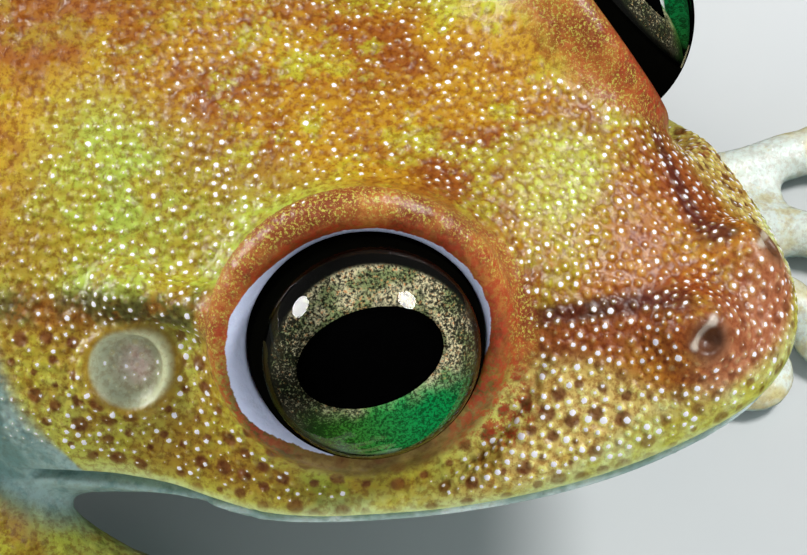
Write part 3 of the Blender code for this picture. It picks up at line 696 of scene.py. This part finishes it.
def away_from(at, spot):
    """Distances from places on the head to one of them."""
    return np.sqrt(((at - np.array(spot)) ** 2).sum(axis=1))


# Colours of the skin. A pair is the ground, then the patches over it.
CHEEK, CHEEK_DARK, UNDER = (0.58, 0.6, 0.08), (0.42, 0.27, 0.015), (0.36, 0.52, 0.48)
LIP, STRIPE, DRUM = (0.74, 0.86, 0.38), (0.045, 0.01, 0.008), (0.48, 0.52, 0.34)
MUSTARD, RUST, LIME = (0.57, 0.32, 0.006), (0.35, 0.11, 0.003), (0.56, 0.6, 0.03)
# A darker rust over the neck, partly its own colour and partly painted shade
NECK_SHADED_COAT = ((0.46, 0.24, 0.006), (0.32, 0.1, 0.004))
LIMB_COAT = ((0.5, 0.58, 0.1), CHEEK_DARK)
HAND_COAT = ((0.78, 0.86, 0.78), (0.66, 0.58, 0.28))
SNOUT_TOP = ((0.56, 0.22, 0.015), (0.42, 0.11, 0.01))
YELLOW_PATCH = ((0.62, 0.8, 0.12), (0.6, 0.58, 0.05))
SNOUT_SIDE = ((0.46, 0.17, 0.012), CHEEK)
TEMPLE = ((0.42, 0.6, 0.07), (0.46, 0.38, 0.02))
# The front of the cheek is a pale yellow, partly its own colour and partly painted light
CHEEK_FRONT_LIT = ((0.95, 0.84, 0.3), (0.7, 0.46, 0.08))
# Under the eye the cheek is a darker olive, partly its own colour and partly painted shade
CHEEK_BELOW_SHADED = ((0.32, 0.37, 0.02), CHEEK_DARK)
JAW_COAT = (UNDER, (0.16, 0.3, 0.28))
LIP_EDGE = ((0.78, 0.92, 0.9), UNDER)
SNOUT_TIP = ((0.68, 0.37, 0.2), (0.52, 0.21, 0.09))
STRIPE_EDGE = ((0.3, 0.06, 0.012), (0.44, 0.13, 0.015))
STRIPE_COAT = (STRIPE, (0.14, 0.025, 0.012))
# Round the lower part of the eye: a thin brown lid edge, with painted shade in the crease against the eyeball
LID_BELOW_SHADED = ((0.2, 0.07, 0.03), (0.03, 0.012, 0.008))
LID_COAT = ((0.52, 0.18, 0.03), (0.28, 0.06, 0.014))
# Dark brown round the nostril, partly its own colour and partly painted shade of its pit
NOSTRIL_SHADE_COAT = ((0.2, 0.08, 0.03), (0.12, 0.045, 0.02))
NOSTRIL_SLIT = ((0.5, 0.41, 0.27), (0.58, 0.48, 0.38))
# Rings of the eardrum, from outside: radius, soft edge, the two colours, and the grain on them
DRUM_RINGS = (
    (0.95, 0.12, (0.3, 0.22, 0.03), CHEEK_DARK, 0.5),
    (0.83, 0.1, (0.6, 0.62, 0.36), DRUM, 0.4),
    (0.66, 0.1, (0.42, 0.44, 0.26), DRUM, 0.5),
    (0.5, 0.3, (0.74, 0.6, 0.52), (0.5, 0.5, 0.36), 0.5),
)
# Marks that the material adds
# Brown spots, pores, and the painted shade in the gaps between granules
SPOT_BROWN, PORE_BROWN, GAP_SHADE_BROWN = (0.19, 0.045, 0.008), (0.42, 0.17, 0.02), (0.62, 0.26, 0.06)
GOLD, BRICK, LAVENDER = (0.58, 0.52, 0.08), (0.46, 0.045, 0.012), (0.72, 0.78, 1.0)
# A yellow painted sheen on the granules' tops, and the colour of their painted glints
DOME_SHEEN, PAINTED_GLINT = (0.9, 0.8, 0.3), (0.95, 0.92, 1.0)
# The eye
GREEN_BACK, GREEN_FRONT = (0.08, 0.36, 0.03), (0.004, 0.58, 0.13)
BRONZE_DARK, BRONZE_PALE, COPPER = (0.36, 0.44, 0.18), (0.95, 0.86, 0.52), (0.95, 0.45, 0.16)
VEIN_BLACK, RIM_BLACK = (0.006, 0.008, 0.004), (0.003, 0.003, 0.002)
BALL_BLACK, PUPIL_BLACK = (0.0015, 0.0015, 0.001), (0.001, 0.001, 0.001)

# Directions round the eye, outwards, forward and up: over it, behind, before, and below at the back
LID_OVER, LID_BEHIND, LID_BEFORE = (-0.68, -0.34, 0.65), (0.52, -0.85, -0.09), (-0.45, 0.89, 0.0)
LID_LOW_BACK = (0.79, -0.41, -0.46)
# The dark stripe from the eye to the nostril bends once. It is flat across a direction.
STRIPE_ENDS = ((2.75, 1.87, 0.27), (1.67, 2.66, -0.14), (0.66, 3.95, -0.2))
STRIPE_ACROSS = (0.59, 0.45, 0.67)
SLIT_ENDS, SLIT_ACROSS = ((1.36, 4.55, -0.36), (0.98, 4.72, -0.05)), (0.6, 0.62, 0.5)
# Height of the line between the skin of the back and the pale underside, along Y
PALE_LINE = ((-7.0, 4.9), (-5.5, 5.0), (0.0, 3.4), (8.0, 1.8), (16.0, 2.2))


def roughness_of(points):
    """Where the granules of the head stand, from 0 to 1."""
    out, ahead, up = on_head(*points.T)
    place = np.stack((out, ahead, up), axis=1)
    rough = ramp(ahead, -6.4, -5.6) * ramp(up - lip_height(ahead), 0.1, 0.6) * (out < 6.5)
    drum = away_from(place, TYMPANUM)
    calm = np.maximum(ramp(drum, 0.75, 0.95), 0.9 * ramp(0.62 - drum, 0, 0.2))
    lid = ramp(away_from(place, (EYE_OUT, 0, 0)), 2.45, 2.8)
    return rough * lid * calm * ramp(away_from(place, NOSTRIL), 0.3, 0.55)


def body_roughness(points, normals):
    """Where the wider granules of the back and limbs stand, from 0 to 1."""
    out, ahead, up = on_head(*points.T)
    behind = np.maximum(1 - ramp(ahead, -6.6, -5.8), ramp(-4.7 - up, 0, 0.3))
    return behind * ramp(points[:, 2], 1.5, 2.2) * ramp(normals[:, 2], -0.4, 0.1)


class Paint:
    """Colours and marks at every point of the skin, laid on coat by coat."""

    def __init__(self, points, normals):
        self.points = points
        self.out, self.ahead, self.up = on_head(*points.T)
        self.place = np.stack((self.out, self.ahead, self.up), axis=1)
        body = Probe(points)
        sculpt_body(body)
        self.limb = ramp(body.depth, 0.15, 0.6)
        self.head = (1 - self.limb) * ramp(self.ahead, -7.5, -5.5)
        self.down = -normals[:, 2]
        self.ground = np.tile(MUSTARD, (len(points), 1))
        self.patch = np.tile(RUST, (len(points), 1))
        marks = ("lime", "spots", "grain", "gold", "red", "white")
        self.marks = {name: np.zeros(len(points)) for name in marks}
        self.marks["lime"] += 0.4 + 0.6 * self.head * ramp(self.ahead, -6.5, -4.0)
        self.marks["grain"] += 1

    def coat(self, mask, colours, lime=0.0, spots=0.0, grain=1.0):
        """Lays two colours over the others where mask is 1, and sets the strength of the marks."""
        for layer, colour in zip((self.ground, self.patch), colours):
            layer += mask[:, None] * (np.array(colour) - layer)
        for name, share in (("lime", lime), ("spots", spots), ("grain", grain)):
            self.marks[name] += mask * (share - self.marks[name])

    def write(self, mesh):
        for name, values in (("ground", self.ground), ("patch", self.patch)):
            layer = mesh.attributes.new(name, "FLOAT_COLOR", "POINT")
            layer.data.foreach_set("color", np.column_stack((values, np.ones(len(values)))).ravel())
        for name, values in self.marks.items():
            mesh.attributes.new(name, "FLOAT", "POINT").data.foreach_set("value", values)


def tint(mesh, points, normals, glint_domes):
    """Paints the whole skin and writes it to the mesh."""
    paint = Paint(points, normals)
    paint_body(paint)
    paint_head_side(paint)
    paint_lip(paint)
    paint_stripe(paint)
    paint_lids(paint)
    paint_drum_and_nostril(paint)
    marks = paint.marks
    marks["spots"] *= brown_spots(points, marks["spots"])
    # The strength of the painted glints on the granules' tops
    marks["glint_domes"] = glint_domes
    # Where the gaps between granules get painted shade
    marks["gap_shade"] = roughness_of(points) * (0.4 + 0.6 * ramp(paint.ahead, -3.0, 2.0))
    paint.write(mesh)


def paint_body(paint):
    """The neck, flanks, limbs and underside."""
    _, y, z = paint.points.T
    trunk_share = (1 - paint.limb) * (1 - paint.head)
    neck = (1 - paint.limb) * ramp(-paint.ahead, 4.0, 6.0) * ramp(3.4 - paint.out, 0, 1.5)
    # Darker rust over the neck, partly its own colour and partly painted shade
    paint.coat(neck * 0.5, NECK_SHADED_COAT, 0.3)
    paint.coat(trunk_share * ramp(paint.down, -0.55, -0.1) * 0.8, (CHEEK, CHEEK_DARK), 0.6, 0.6)
    paint.coat(paint.limb * 0.8, LIMB_COAT, 0.8, 0.5)
    paint.coat(paint.limb * ramp(2.2 - z, 0, 0.8) * ramp(-7 - y, 0, 2), HAND_COAT, 0.1, 0.0, 0.4)
    pale_line = np.interp(y, *zip(*PALE_LINE))
    paint.coat(trunk_share * ramp(pale_line - z, -0.3, 0.6), (UNDER, UNDER), grain=0.4)
    paint.coat(ramp(paint.down, -0.05, 0.45) * (1 - paint.head), (UNDER, UNDER), grain=0.4)


def paint_head_side(paint):
    """The snout, and the sides of the head from the canthus down."""
    out, ahead, up, head = paint.out, paint.ahead, paint.up, paint.head
    below_crown = crown_height(ahead) - up
    side = head * ramp(below_crown, 0.5, 1.0)
    away = np.sqrt((out / 1.3) ** 2 + ((ahead - 1.4) / 0.9) ** 2)
    paint.coat(head * ramp(ahead, 1.8, 2.8) * 0.8, SNOUT_TOP, 0.2, 0.1)
    paint.coat(head * ramp(1.1 - away, 0, 0.6) * 0.85, YELLOW_PATCH, 0.8)
    paint.coat(side * ramp(ahead, 0.5, 2.0), SNOUT_SIDE, 0.2, 0.3)
    temple = head * ramp(-ahead, 0.3, 1.6) * ramp(ahead, -7.0, -5.0) * ramp(out, 1.5, 3.0)
    paint.coat(temple * 0.9, TEMPLE, 0.5, 0.1)
    front = ramp(ahead, 1.0, 3.0)
    low = head * ramp(below_crown, 1.2 - 0.6 * front, 1.8 - 0.8 * front)
    paint.coat(low, (CHEEK, CHEEK_DARK), 0.5, 1.0)
    # A paler front of the cheek, partly its own colour and partly painted light
    paint.coat(low * front * 0.8, CHEEK_FRONT_LIT, 0.5, 1.0)
    # Darker olive under the eye, partly its own colour and partly painted shade
    shaded_under_eye = low * ramp(lip_height(ahead) + 1.2 - up, 0, 0.8) * ramp(2.0 - np.abs(ahead), 0, 1.5)
    paint.coat(shaded_under_eye, CHEEK_BELOW_SHADED, 0.3, 1.0)


def paint_lip(paint):
    """The pale lip and its rim, the jaw under it and the tip of the snout."""
    ahead, up, head = paint.ahead, paint.up, paint.head
    lip = lip_height(ahead)
    wide = 0.45 + 0.7 * ramp(ahead, 2.5, 4.5)
    before_corner = ramp(ahead, -4.6, -2.5)
    paint.coat(head * ramp(lip + wide - up, 0, 0.45) * before_corner, (LIP, CHEEK), 0.2, 0.7, 0.6)
    paint.coat(head * ramp(lip + 0.2 - up, 0, 0.2) * before_corner, (LIP, LIP), grain=0.3)
    jaw = lip + 1.2 * np.clip(-3.9 - ahead, 0, 2.2)
    paint.coat(head * ramp(jaw - 0.02 - up, 0, 0.12 + 0.5 * ramp(-ahead, 4.1, 5.0)), JAW_COAT, grain=0.3)
    rim = head * ramp(ahead, -3.0, 0.0) * ramp(lip - 0.02 - up, 0, 0.1) * ramp(up - lip, -0.6, -0.35)
    paint.coat(rim, LIP_EDGE, grain=0.2)
    paint.coat(head * ramp(ahead, 4.3, 5.1) * ramp(up - lip, 0.5, 0.9), SNOUT_TIP, 0, 0.7, 0.6)


def paint_stripe(paint):
    """The dark stripe from the eye to the nostril, the red before the eye and the streak behind it."""
    place, head = paint.place, paint.head
    away = near_line(place, (2.8, 1.9, -0.25), (1.3, 3.5, -0.6))
    paint.coat(head * 0.7 * ramp(0.55 - away, 0, 0.4), STRIPE_EDGE)
    back, bend, front = STRIPE_ENDS
    halves = [near_line(place, *ends, STRIPE_ACROSS) for ends in ((back, bend), (bend, front))]
    stripe = ramp(0.28 - np.minimum(*halves), 0, 0.22) * ramp(paint.up, -1.4, -1.0)
    paint.coat(head * stripe * 0.85, STRIPE_COAT)
    away = near_line(place, (3.0, 1.9, -0.3), (3.3, 2.1, -1.3))
    paint.marks["red"] += head * ramp(0.75 - away, 0, 0.4)
    away = near_line(place, (4.5, -2.6, 0.0), (5.4, -5.6, -0.6))
    paint.coat(head * 0.8 * ramp(0.5 - away, 0, 0.35), (STRIPE, RUST))


def paint_lids(paint):
    """A red-brown band over the eye, and a lavender inner edge that widens at the back."""
    eye = paint.place - np.array((EYE_OUT, 0, 0))
    apart = np.sqrt((eye**2).sum(axis=1))
    facing = np.array(LID_FACING) / np.linalg.norm(LID_FACING)
    along = eye @ facing
    around = eye - along[:, None] * facing
    around = around / np.maximum(np.linalg.norm(around, axis=1), 1e-6)[:, None]
    over, behind, before, low_back = (
        around @ np.array(way) for way in (LID_OVER, LID_BEHIND, LID_BEFORE, LID_LOW_BACK)
    )
    high = ramp(over, -0.45, 0.1)
    back = ramp(behind, 0.45, 0.95)
    rim = paint.head * ramp(along, -1.0, -0.5)
    # The lower lid: a thin brown edge, with painted shade in the crease against the eyeball
    paint.coat(rim * ramp(2.5 - apart, 0, 0.25) * (1 - high) * 0.8, LID_BELOW_SHADED, 0.0, 0.3, 0.5)
    paint.coat(rim * ramp(2.8 - apart, 0, 0.2) * high, LID_COAT, grain=0.5)
    paint.marks["gold"] += rim * ramp(2.85 - apart, 0, 0.25) * high * ramp(apart, 2.15, 2.4)
    red = np.maximum(paint.marks["red"], 0.8 * rim * ramp(2.4 - apart, 0, 0.25) * high)
    ends = rim * ramp(2.62 - apart, 0, 0.3) * np.maximum(ramp(before, 0.4, 0.9), back)
    paint.marks["red"] = np.maximum(red, ends)
    edge = np.maximum(np.maximum(ramp(over, -0.7, 0.4), back), ramp(low_back, 0.5, 0.9))
    width = 1.72 + 0.31 * edge + 0.22 * back**2
    paint.marks["white"] += paint.head * ramp(width - apart, -0.1, 0.14)
    paint.marks["grain"] *= 1 - paint.marks["white"]


def paint_drum_and_nostril(paint):
    """The eardrum's rings, and the dark round the nostril's pale slit, partly painted shade of its pit."""
    away = away_from(paint.place, TYMPANUM)
    for radius, soft, ground, patch, grain in DRUM_RINGS:
        paint.coat(paint.head * ramp(radius - away, 0, soft), (ground, patch), grain=grain)
    away = away_from(paint.place, NOSTRIL)
    # Dark brown round the nostril, partly painted shade of its pit
    paint.coat(paint.head * ramp(0.5 - away, 0, 0.3) * 0.9, NOSTRIL_SHADE_COAT, grain=0.4)
    away = near_line(paint.place, *SLIT_ENDS, SLIT_ACROSS)
    paint.coat(paint.head * ramp(0.11 - away, 0, 0.07), NOSTRIL_SLIT, grain=0.0)


def brown_spots(points, strength):
    """Round brown spots on the cheeks and lips, from 0 to 1, at every point."""
    out, ahead, up = on_head(*points.T)
    cheek = (strength > 0.05) & (ahead > -7) & (out < 6.5) & (up > -4)
    seeds = scatter(points[cheek], SPOT_GAP, SPOT_SEED)
    sizes = np.random.default_rng(SPOT_SEED + 1).uniform(*SPOT_RADIUS, len(seeds))
    spots = np.zeros(len(points))
    spots[cheek] = ramp(granules(points[cheek], seeds, sizes)[0], 0.0, 0.6)
    return spots


def add_object(name, data):
    """Puts a new object in the scene."""
    item = bpy.data.objects.new(name, data)
    bpy.context.scene.collection.objects.link(item)
    return item


class Shade:
    """A material and short ways to its nodes."""

    def __init__(self, name):
        self.material = bpy.data.materials.new(name)
        self.material.use_nodes = True
        self.tree = self.material.node_tree
        self.surface = self.tree.nodes["Principled BSDF"]
        spot = self.wire("TexCoord", {})["Object"]
        self.at = self.wire("VectorMath", {0: spot, "Scale": 1 / MM}, operation="SCALE")[0]

    def wire(self, kind, inputs, **settings):
        """Adds a node and returns its outputs. Its inputs are numbers or outputs of other nodes."""
        node = self.tree.nodes.new("ShaderNode" + kind)
        for name, value in settings.items():
            setattr(node, name, value)
        for name, value in inputs.items():
            if isinstance(value, bpy.types.NodeSocket):
                self.tree.links.new(value, node.inputs[name])
            else:
                node.inputs[name].default_value = value
        return node.outputs

    def attribute(self, name, output="Fac"):
        return self.wire("Attribute", {}, attribute_name=name)[output]

    def noise(self, scale, detail=2.0, at=None, rough=0.5, warp=0.0):
        inputs = {"Vector": at or self.at, "Scale": scale, "Detail": detail}
        inputs.update({"Roughness": rough, "Distortion": warp})
        return self.wire("TexNoise", inputs)[0]

    def cells(self, scale):
        inputs = {"Vector": self.at, "Scale": scale}
        return self.wire("TexVoronoi", inputs, feature="F1")["Distance"]

    def ramp(self, value, low, high, start=0.0, end=1.0):
        inputs = {"Value": value, "From Min": low, "From Max": high, "To Min": start, "To Max": end}
        return self.wire("MapRange", inputs, interpolation_type="SMOOTHSTEP")[0]

    def math(self, operation, a, b):
        return self.wire("Math", {0: a, 1: b}, operation=operation)[0]

    def add(self, a, b):
        return self.math("ADD", a, b)

    def times(self, a, b):
        return self.math("MULTIPLY", a, b)

    def sway(self, scale, detail, rough, size):
        """Noise that goes up and down round 0."""
        return self.times(self.math("SUBTRACT", self.noise(scale, detail, rough=rough), 0.5), size)

    def mix(self, share, a, b, kind="MIX"):
        a, b = [(*c, 1.0) if isinstance(c, tuple) else c for c in (a, b)]
        inputs = {0: share, 6: a, 7: b}
        return self.wire("Mix", inputs, data_type="RGBA", blend_type=kind)[2]

    def bump(self, height, distance, normal=None):
        inputs = {"Height": height, "Distance": distance * MM}
        if normal:
            inputs["Normal"] = normal
        return self.wire("Bump", inputs)[0]

    def finish(self, **inputs):
        for name, value in inputs.items():
            socket = self.surface.inputs[name.replace("_", " ").title().replace("Ior", "IOR")]
            if isinstance(value, bpy.types.NodeSocket):
                self.tree.links.new(value, socket)
            elif isinstance(value, tuple) and socket.type == "RGBA":
                socket.default_value = (*value, 1.0)
            else:
                socket.default_value = value
        return self.material


def skin_material():
    s = Shade("skin")
    grain, glint_domes = s.attribute("grain"), s.attribute("glint_domes")
    ground, patch = s.attribute("ground", "Color"), s.attribute("patch", "Color")
    aside = s.wire("VectorMath", {0: s.at, 1: (31.0, 17.0, 5.0)})[0]
    # Patches large and small, yellow-green clouds and the cheeks' brown spots
    colour = s.mix(s.ramp(s.noise(0.5, 4.0, rough=0.65, warp=0.3), 0.44, 0.6), ground, patch)
    colour = s.mix(s.ramp(s.noise(1.7, 4.0, rough=0.7), 0.5, 0.64, 0.0, 0.75), colour, patch)
    clouds = s.times(s.ramp(s.noise(1.1, 5.0, aside, 0.7), 0.48, 0.66, 0.0, 0.8), s.attribute("lime"))
    colour = s.mix(clouds, colour, LIME)
    colour = s.mix(s.times(s.attribute("spots"), 0.85), colour, SPOT_BROWN)
    # Fine pores, and flecks of gold on the eyelids
    fine = s.noise(9.0, 4.0, rough=0.7)
    pores = s.times(s.ramp(fine, 0.38, 0.56, 0.65, 0.0), grain)
    colour = s.mix(pores, colour, PORE_BROWN, "MULTIPLY")
    flecks = s.times(s.ramp(s.noise(22.0, 3.0, rough=0.8), 0.52, 0.6), s.attribute("gold"))
    colour = s.mix(flecks, colour, GOLD)
    # Brick-red speckle by the eye, and its lavender inner edge
    rust = s.times(s.ramp(s.noise(7.0, 5.0, rough=0.8), 0.46, 0.56, 0.0, 0.8), s.attribute("red"))
    colour = s.mix(rust, colour, BRICK)
    white = s.add(s.attribute("white"), s.sway(2.6, 5.0, 0.7, 0.9))
    colour = s.mix(s.ramp(white, 0.42, 0.56), colour, LAVENDER)
    # Granules: painted shade in the gaps between them, a yellow painted sheen on their tops and painted
    # glints on some
    gaps = s.times(s.ramp(glint_domes, 0.05, 0.45, 0.45, 0.0), s.attribute("gap_shade"))
    colour = s.mix(gaps, colour, GAP_SHADE_BROWN, "MULTIPLY")
    colour = s.mix(s.ramp(glint_domes, 0.4, 0.67, 0.0, 0.15), colour, DOME_SHEEN)
    uneven = s.add(glint_domes, s.sway(9.0, 3.0, 0.7, 0.5))
    colour = s.mix(s.ramp(uneven, 0.66, 0.74, 0.0, 0.95), colour, PAINTED_GLINT)
    domes = s.ramp(s.cells(3.4), 0.05, 0.5, 1.0, 0.0)
    normal = s.bump(s.times(domes, grain), 0.035)
    normal = s.bump(fine, 0.02, normal)
    return s.finish(
        base_color=colour,
        normal=normal,
        coat_normal=normal,
        roughness=s.ramp(fine, 0.3, 0.7, 0.38, 0.52),
        coat_weight=0.5,
        coat_roughness=0.08,
        subsurface_weight=0.08,
        subsurface_radius=(0.9, 0.45, 0.2),
        subsurface_scale=0.0005,
    )


def iris_material():
    """Bronze above and green below, with copper flecks, black veins and a ragged black edge."""
    s = Shade("iris")
    across, height, _ = s.wire("SeparateXYZ", {0: s.at})
    level = s.add(height, s.sway(2.5, 4.0, 0.5, 0.7))
    green = s.mix(s.ramp(across, -1.0, 0.7), GREEN_BACK, GREEN_FRONT)
    bronze = s.mix(s.ramp(s.noise(3.0, 4.0), 0.4, 0.6), BRONZE_DARK, BRONZE_PALE)
    colour = s.mix(s.ramp(level, -0.95, -0.4), green, bronze)
    fine = s.noise(20.0, 5.0, rough=0.85)
    flecks = s.times(s.ramp(s.noise(17.0, 3.0, rough=0.7), 0.55, 0.62, 0.0, 0.9), s.ramp(level, -0.9, -0.3))
    colour = s.mix(flecks, colour, COPPER)
    ends = s.add(s.ramp(across, -1.6, -0.4, 0.09, 0.0), s.ramp(across, 0.9, 1.7, 0.0, 0.06))
    veins = s.ramp(s.math("SUBTRACT", fine, ends), 0.47, 0.53, 1.0, 0.0)
    colour = s.mix(s.times(veins, s.ramp(level, -1.2, -0.2, 0.75, 0.98)), colour, VEIN_BLACK)
    flat = s.wire("VectorMath", {0: s.at, 1: (1.0, 1.0, 0.0)}, operation="MULTIPLY")[0]
    away = s.wire("VectorMath", {0: flat}, operation="LENGTH")["Value"]
    away = s.add(away, s.ramp(height, 0.3, 1.5, 0.0, 0.14))
    away = s.add(away, s.times(fine, 0.3))
    colour = s.mix(s.ramp(away, 1.75, 1.8), colour, RIM_BLACK)
    return s.finish(base_color=colour, roughness=0.6, specular_ior_level=0.1, normal=s.bump(fine, 0.02))


def dark_material(name, colour):
    s = Shade(name)
    colour = s.mix(s.noise(4.0), colour, tuple(0.5 * c for c in colour))
    return s.finish(base_color=colour, roughness=0.9, specular_ior_level=0.0)


def clear_material():
    """A clear wet dome: see-through, with reflections that rise towards its edge."""
    s = Shade("cornea")
    clear = s.wire("BsdfTransparent", {})[0]
    gloss = s.wire("BsdfGlossy", {"Roughness": 0.02})[0]
    share = s.wire("Fresnel", {"IOR": 1.34})[0]
    both = s.wire("MixShader", {0: share, 1: clear, 2: gloss})[0]
    s.tree.links.new(both, s.tree.nodes["Material Output"].inputs["Surface"])
    s.tree.nodes.remove(s.surface)
    return s.material


def lathe(bm, rings, slot):
    """Faces between rings of points. A ring has a width, a depth, a height and at times a shift."""
    rows = []
    for wide, tall, height, *shift in rings:
        row = []
        shift_x, shift_y = shift or (0.0, 0.0)
        for i in range(EYE_SIDES):
            turn = 2 * math.pi * i / EYE_SIDES
            spot = (shift_x + wide * math.cos(turn), shift_y + tall * math.sin(turn), height)
            row.append(bm.verts.new(spot))
        rows.append(row)
    for row, after in zip(rows, rows[1:]):
        for i in range(EYE_SIDES):
            face = bm.faces.new((row[i - 1], row[i], after[i], after[i - 1]))
            face.material_index = slot


def ball_rings(start, end, steps):
    """Rings on the eyeball from one angle off its axis to another."""
    rings = []
    for i in range(steps + 1):
        turn = start + (end - start) * i / steps
        wide = max(EYE_RADIUS * math.sin(turn), 0.002)
        rings.append((wide, wide, EYE_RADIUS * math.cos(turn)))
    return rings


def iris_rings(edge, shift):
    """Rings of the iris, from its round outer edge to the oval pupil, and those of the pupil."""
    iris = []
    for i in range(BALL_RINGS + 1):
        t = i / BALL_RINGS
        wide, tall = edge + (PUPIL[0] - edge) * t, edge + (PUPIL[1] - edge) * t
        crest = IRIS_CREST * math.sin(math.pi * min(t * 1.1, 1))
        crest -= IRIS_DIP * max(0, t - 1 + DIP_WIDTH) / DIP_WIDTH
        bulge = IRIS_BULGE * (1 - ((wide + tall) / 2 / edge) ** 2)
        iris.append((wide, tall, IRIS_HEIGHT - IRIS_SINK + bulge + crest, shift.x * t, shift.y * t))
    bottom = iris[-1][2]
    pupil = []
    for k in (1.0, 0.8, 0.6, 0.4, 0.2, 0.01):
        pupil.append((PUPIL[0] * k, PUPIL[1] * k, bottom + PUPIL_BULGE * (1 - k**2), shift.x, shift.y))
    return iris, pupil


def make_eye(side, label, materials):
    """The dark ball with the iris sunk in it, and the clear dome over them."""
    rim = math.acos(IRIS_HEIGHT / EYE_RADIUS)
    axis = head_way(*on_side(side, EYE_AXIS))
    level = Vector((0, 0, 1)).cross(axis).normalized()
    # Both eyes have their upper edge of the pupil towards the crown
    pose = Matrix((level, axis.cross(level), axis)).transposed() @ Matrix.Rotation(-side * EYE_ROLL, 3, "Z")
    shift = head_way(*on_side(side, PUPIL_SHIFT)) * Vector(PUPIL_SHIFT).length
    iris, pupil = iris_rings(EYE_RADIUS * math.sin(rim), pose.inverted() @ shift)
    ball, dome = ball_rings(math.pi, rim, BALL_RINGS), ball_rings(rim + 0.03, 0.0, DOME_RINGS)
    pose = pose.to_4x4()
    pose.translation = (Vector(head_spot(side * EYE_OUT, 0, 0)) + Vector((0, SET_BACK, 0))) * MM
    pieces = []
    for kind, groups in (("eyeball", (ball, iris, pupil)), ("cornea", (dome,))):
        bm = bmesh.new()
        for slot, rings in enumerate(groups):
            lathe(bm, rings, slot)
        bmesh.ops.remove_doubles(bm, verts=bm.verts, dist=0.004)
        bmesh.ops.recalc_face_normals(bm, faces=bm.faces)
        mesh = bpy.data.meshes.new(f"{kind}_{label}")
        bm.to_mesh(mesh)
        bm.free()
        mesh.transform(Matrix.Scale(MM, 4))
        mesh.shade_smooth()
        for material in materials[kind]:
            mesh.materials.append(material)
        piece = add_object(mesh.name, mesh)
        piece.matrix_world = pose
        pieces.append(piece)
    return pieces


def place_camera():
    back = head_way(*on_side(-1, CAMERA_BACK))
    right = head_way(*on_side(-1, CAMERA_RIGHT))
    right = (right - back * right.dot(back)).normalized()
    up = back.cross(right)
    aside = (HEAD_PIXEL[0] - PHOTO_SIZE[0] / 2) / PIXELS_PER_MM
    above = (PHOTO_SIZE[1] / 2 - HEAD_PIXEL[1]) / PIXELS_PER_MM
    aim = Vector(head_spot(0, 0, 0)) - right * aside - up * above
    data = bpy.data.cameras.new("camera")
    camera = add_object("camera", data)
    pose = Matrix((right, up, back)).transposed().to_4x4()
    pose.translation = (aim + back * CAMERA_DISTANCE + Vector((0, SET_BACK, 0))) * MM
    camera.matrix_world = pose
    data.sensor_width = SENSOR_WIDTH
    data.lens = SENSOR_WIDTH * PIXELS_PER_MM * CAMERA_DISTANCE / PHOTO_SIZE[0]
    data.clip_start = 0.01
    bpy.context.scene.camera = camera
    return right, up, back


def place_light(name, way, distance, size, power):
    data = bpy.data.lights.new(name, "AREA")
    data.shape, data.size, data.energy = "DISK", size, power
    light = add_object(name, data)
    light.location = Vector(head_spot(0, 0, 0)) * MM + way.normalized() * distance
    light.rotation_euler = way.to_track_quat("Z", "Y").to_euler()
    light.visible_glossy = name != "lamp_fill"


def make_floor():
    bm = bmesh.new()
    bmesh.ops.create_grid(bm, x_segments=8, y_segments=8, size=1.0)
    mesh = bpy.data.meshes.new("floor")
    bm.to_mesh(mesh)
    bm.free()
    floor = add_object("floor", mesh)
    s = Shade("floor")
    colour = s.mix(s.noise(0.4), (0.62, 0.64, 0.64), (0.66, 0.67, 0.66))
    mesh.materials.append(s.finish(base_color=colour, roughness=0.7))
    floor.visible_glossy = False


def make_world():
    world = bpy.data.worlds.new("studio")
    bpy.context.scene.world = world
    world.use_nodes = True
    world.cycles_visibility.glossy = False
    background = world.node_tree.nodes["Background"]
    background.inputs["Color"].default_value = (0.82, 0.9, 1.0, 1.0)
    background.inputs["Strength"].default_value = 0.3


right, up, back = place_camera()
make_floor()
make_world()
bpy.context.scene.view_settings.view_transform = "Standard"
for name, (to_right, to_top, to_back), *rest in LAMPS:
    place_light(name, right * to_right + up * to_top + back * to_back, *rest)

flesh = [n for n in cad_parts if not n.endswith("_eye")]
skin = make_skin()
skin.data.materials.append(skin_material())
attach(skin, "root")
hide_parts(*flesh)
materials = {
    "eyeball": (dark_material("eye_ball", BALL_BLACK), iris_material(), dark_material("pupil", PUPIL_BLACK)),
    "cornea": (clear_material(),),
}
for side, label in SIDES:
    eyeball, cornea = make_eye(side, label, materials)
    for piece in (eyeball, cornea):
        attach(piece, "root")
    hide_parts(f"{label}_eye")

bpy.context.view_layer.update()
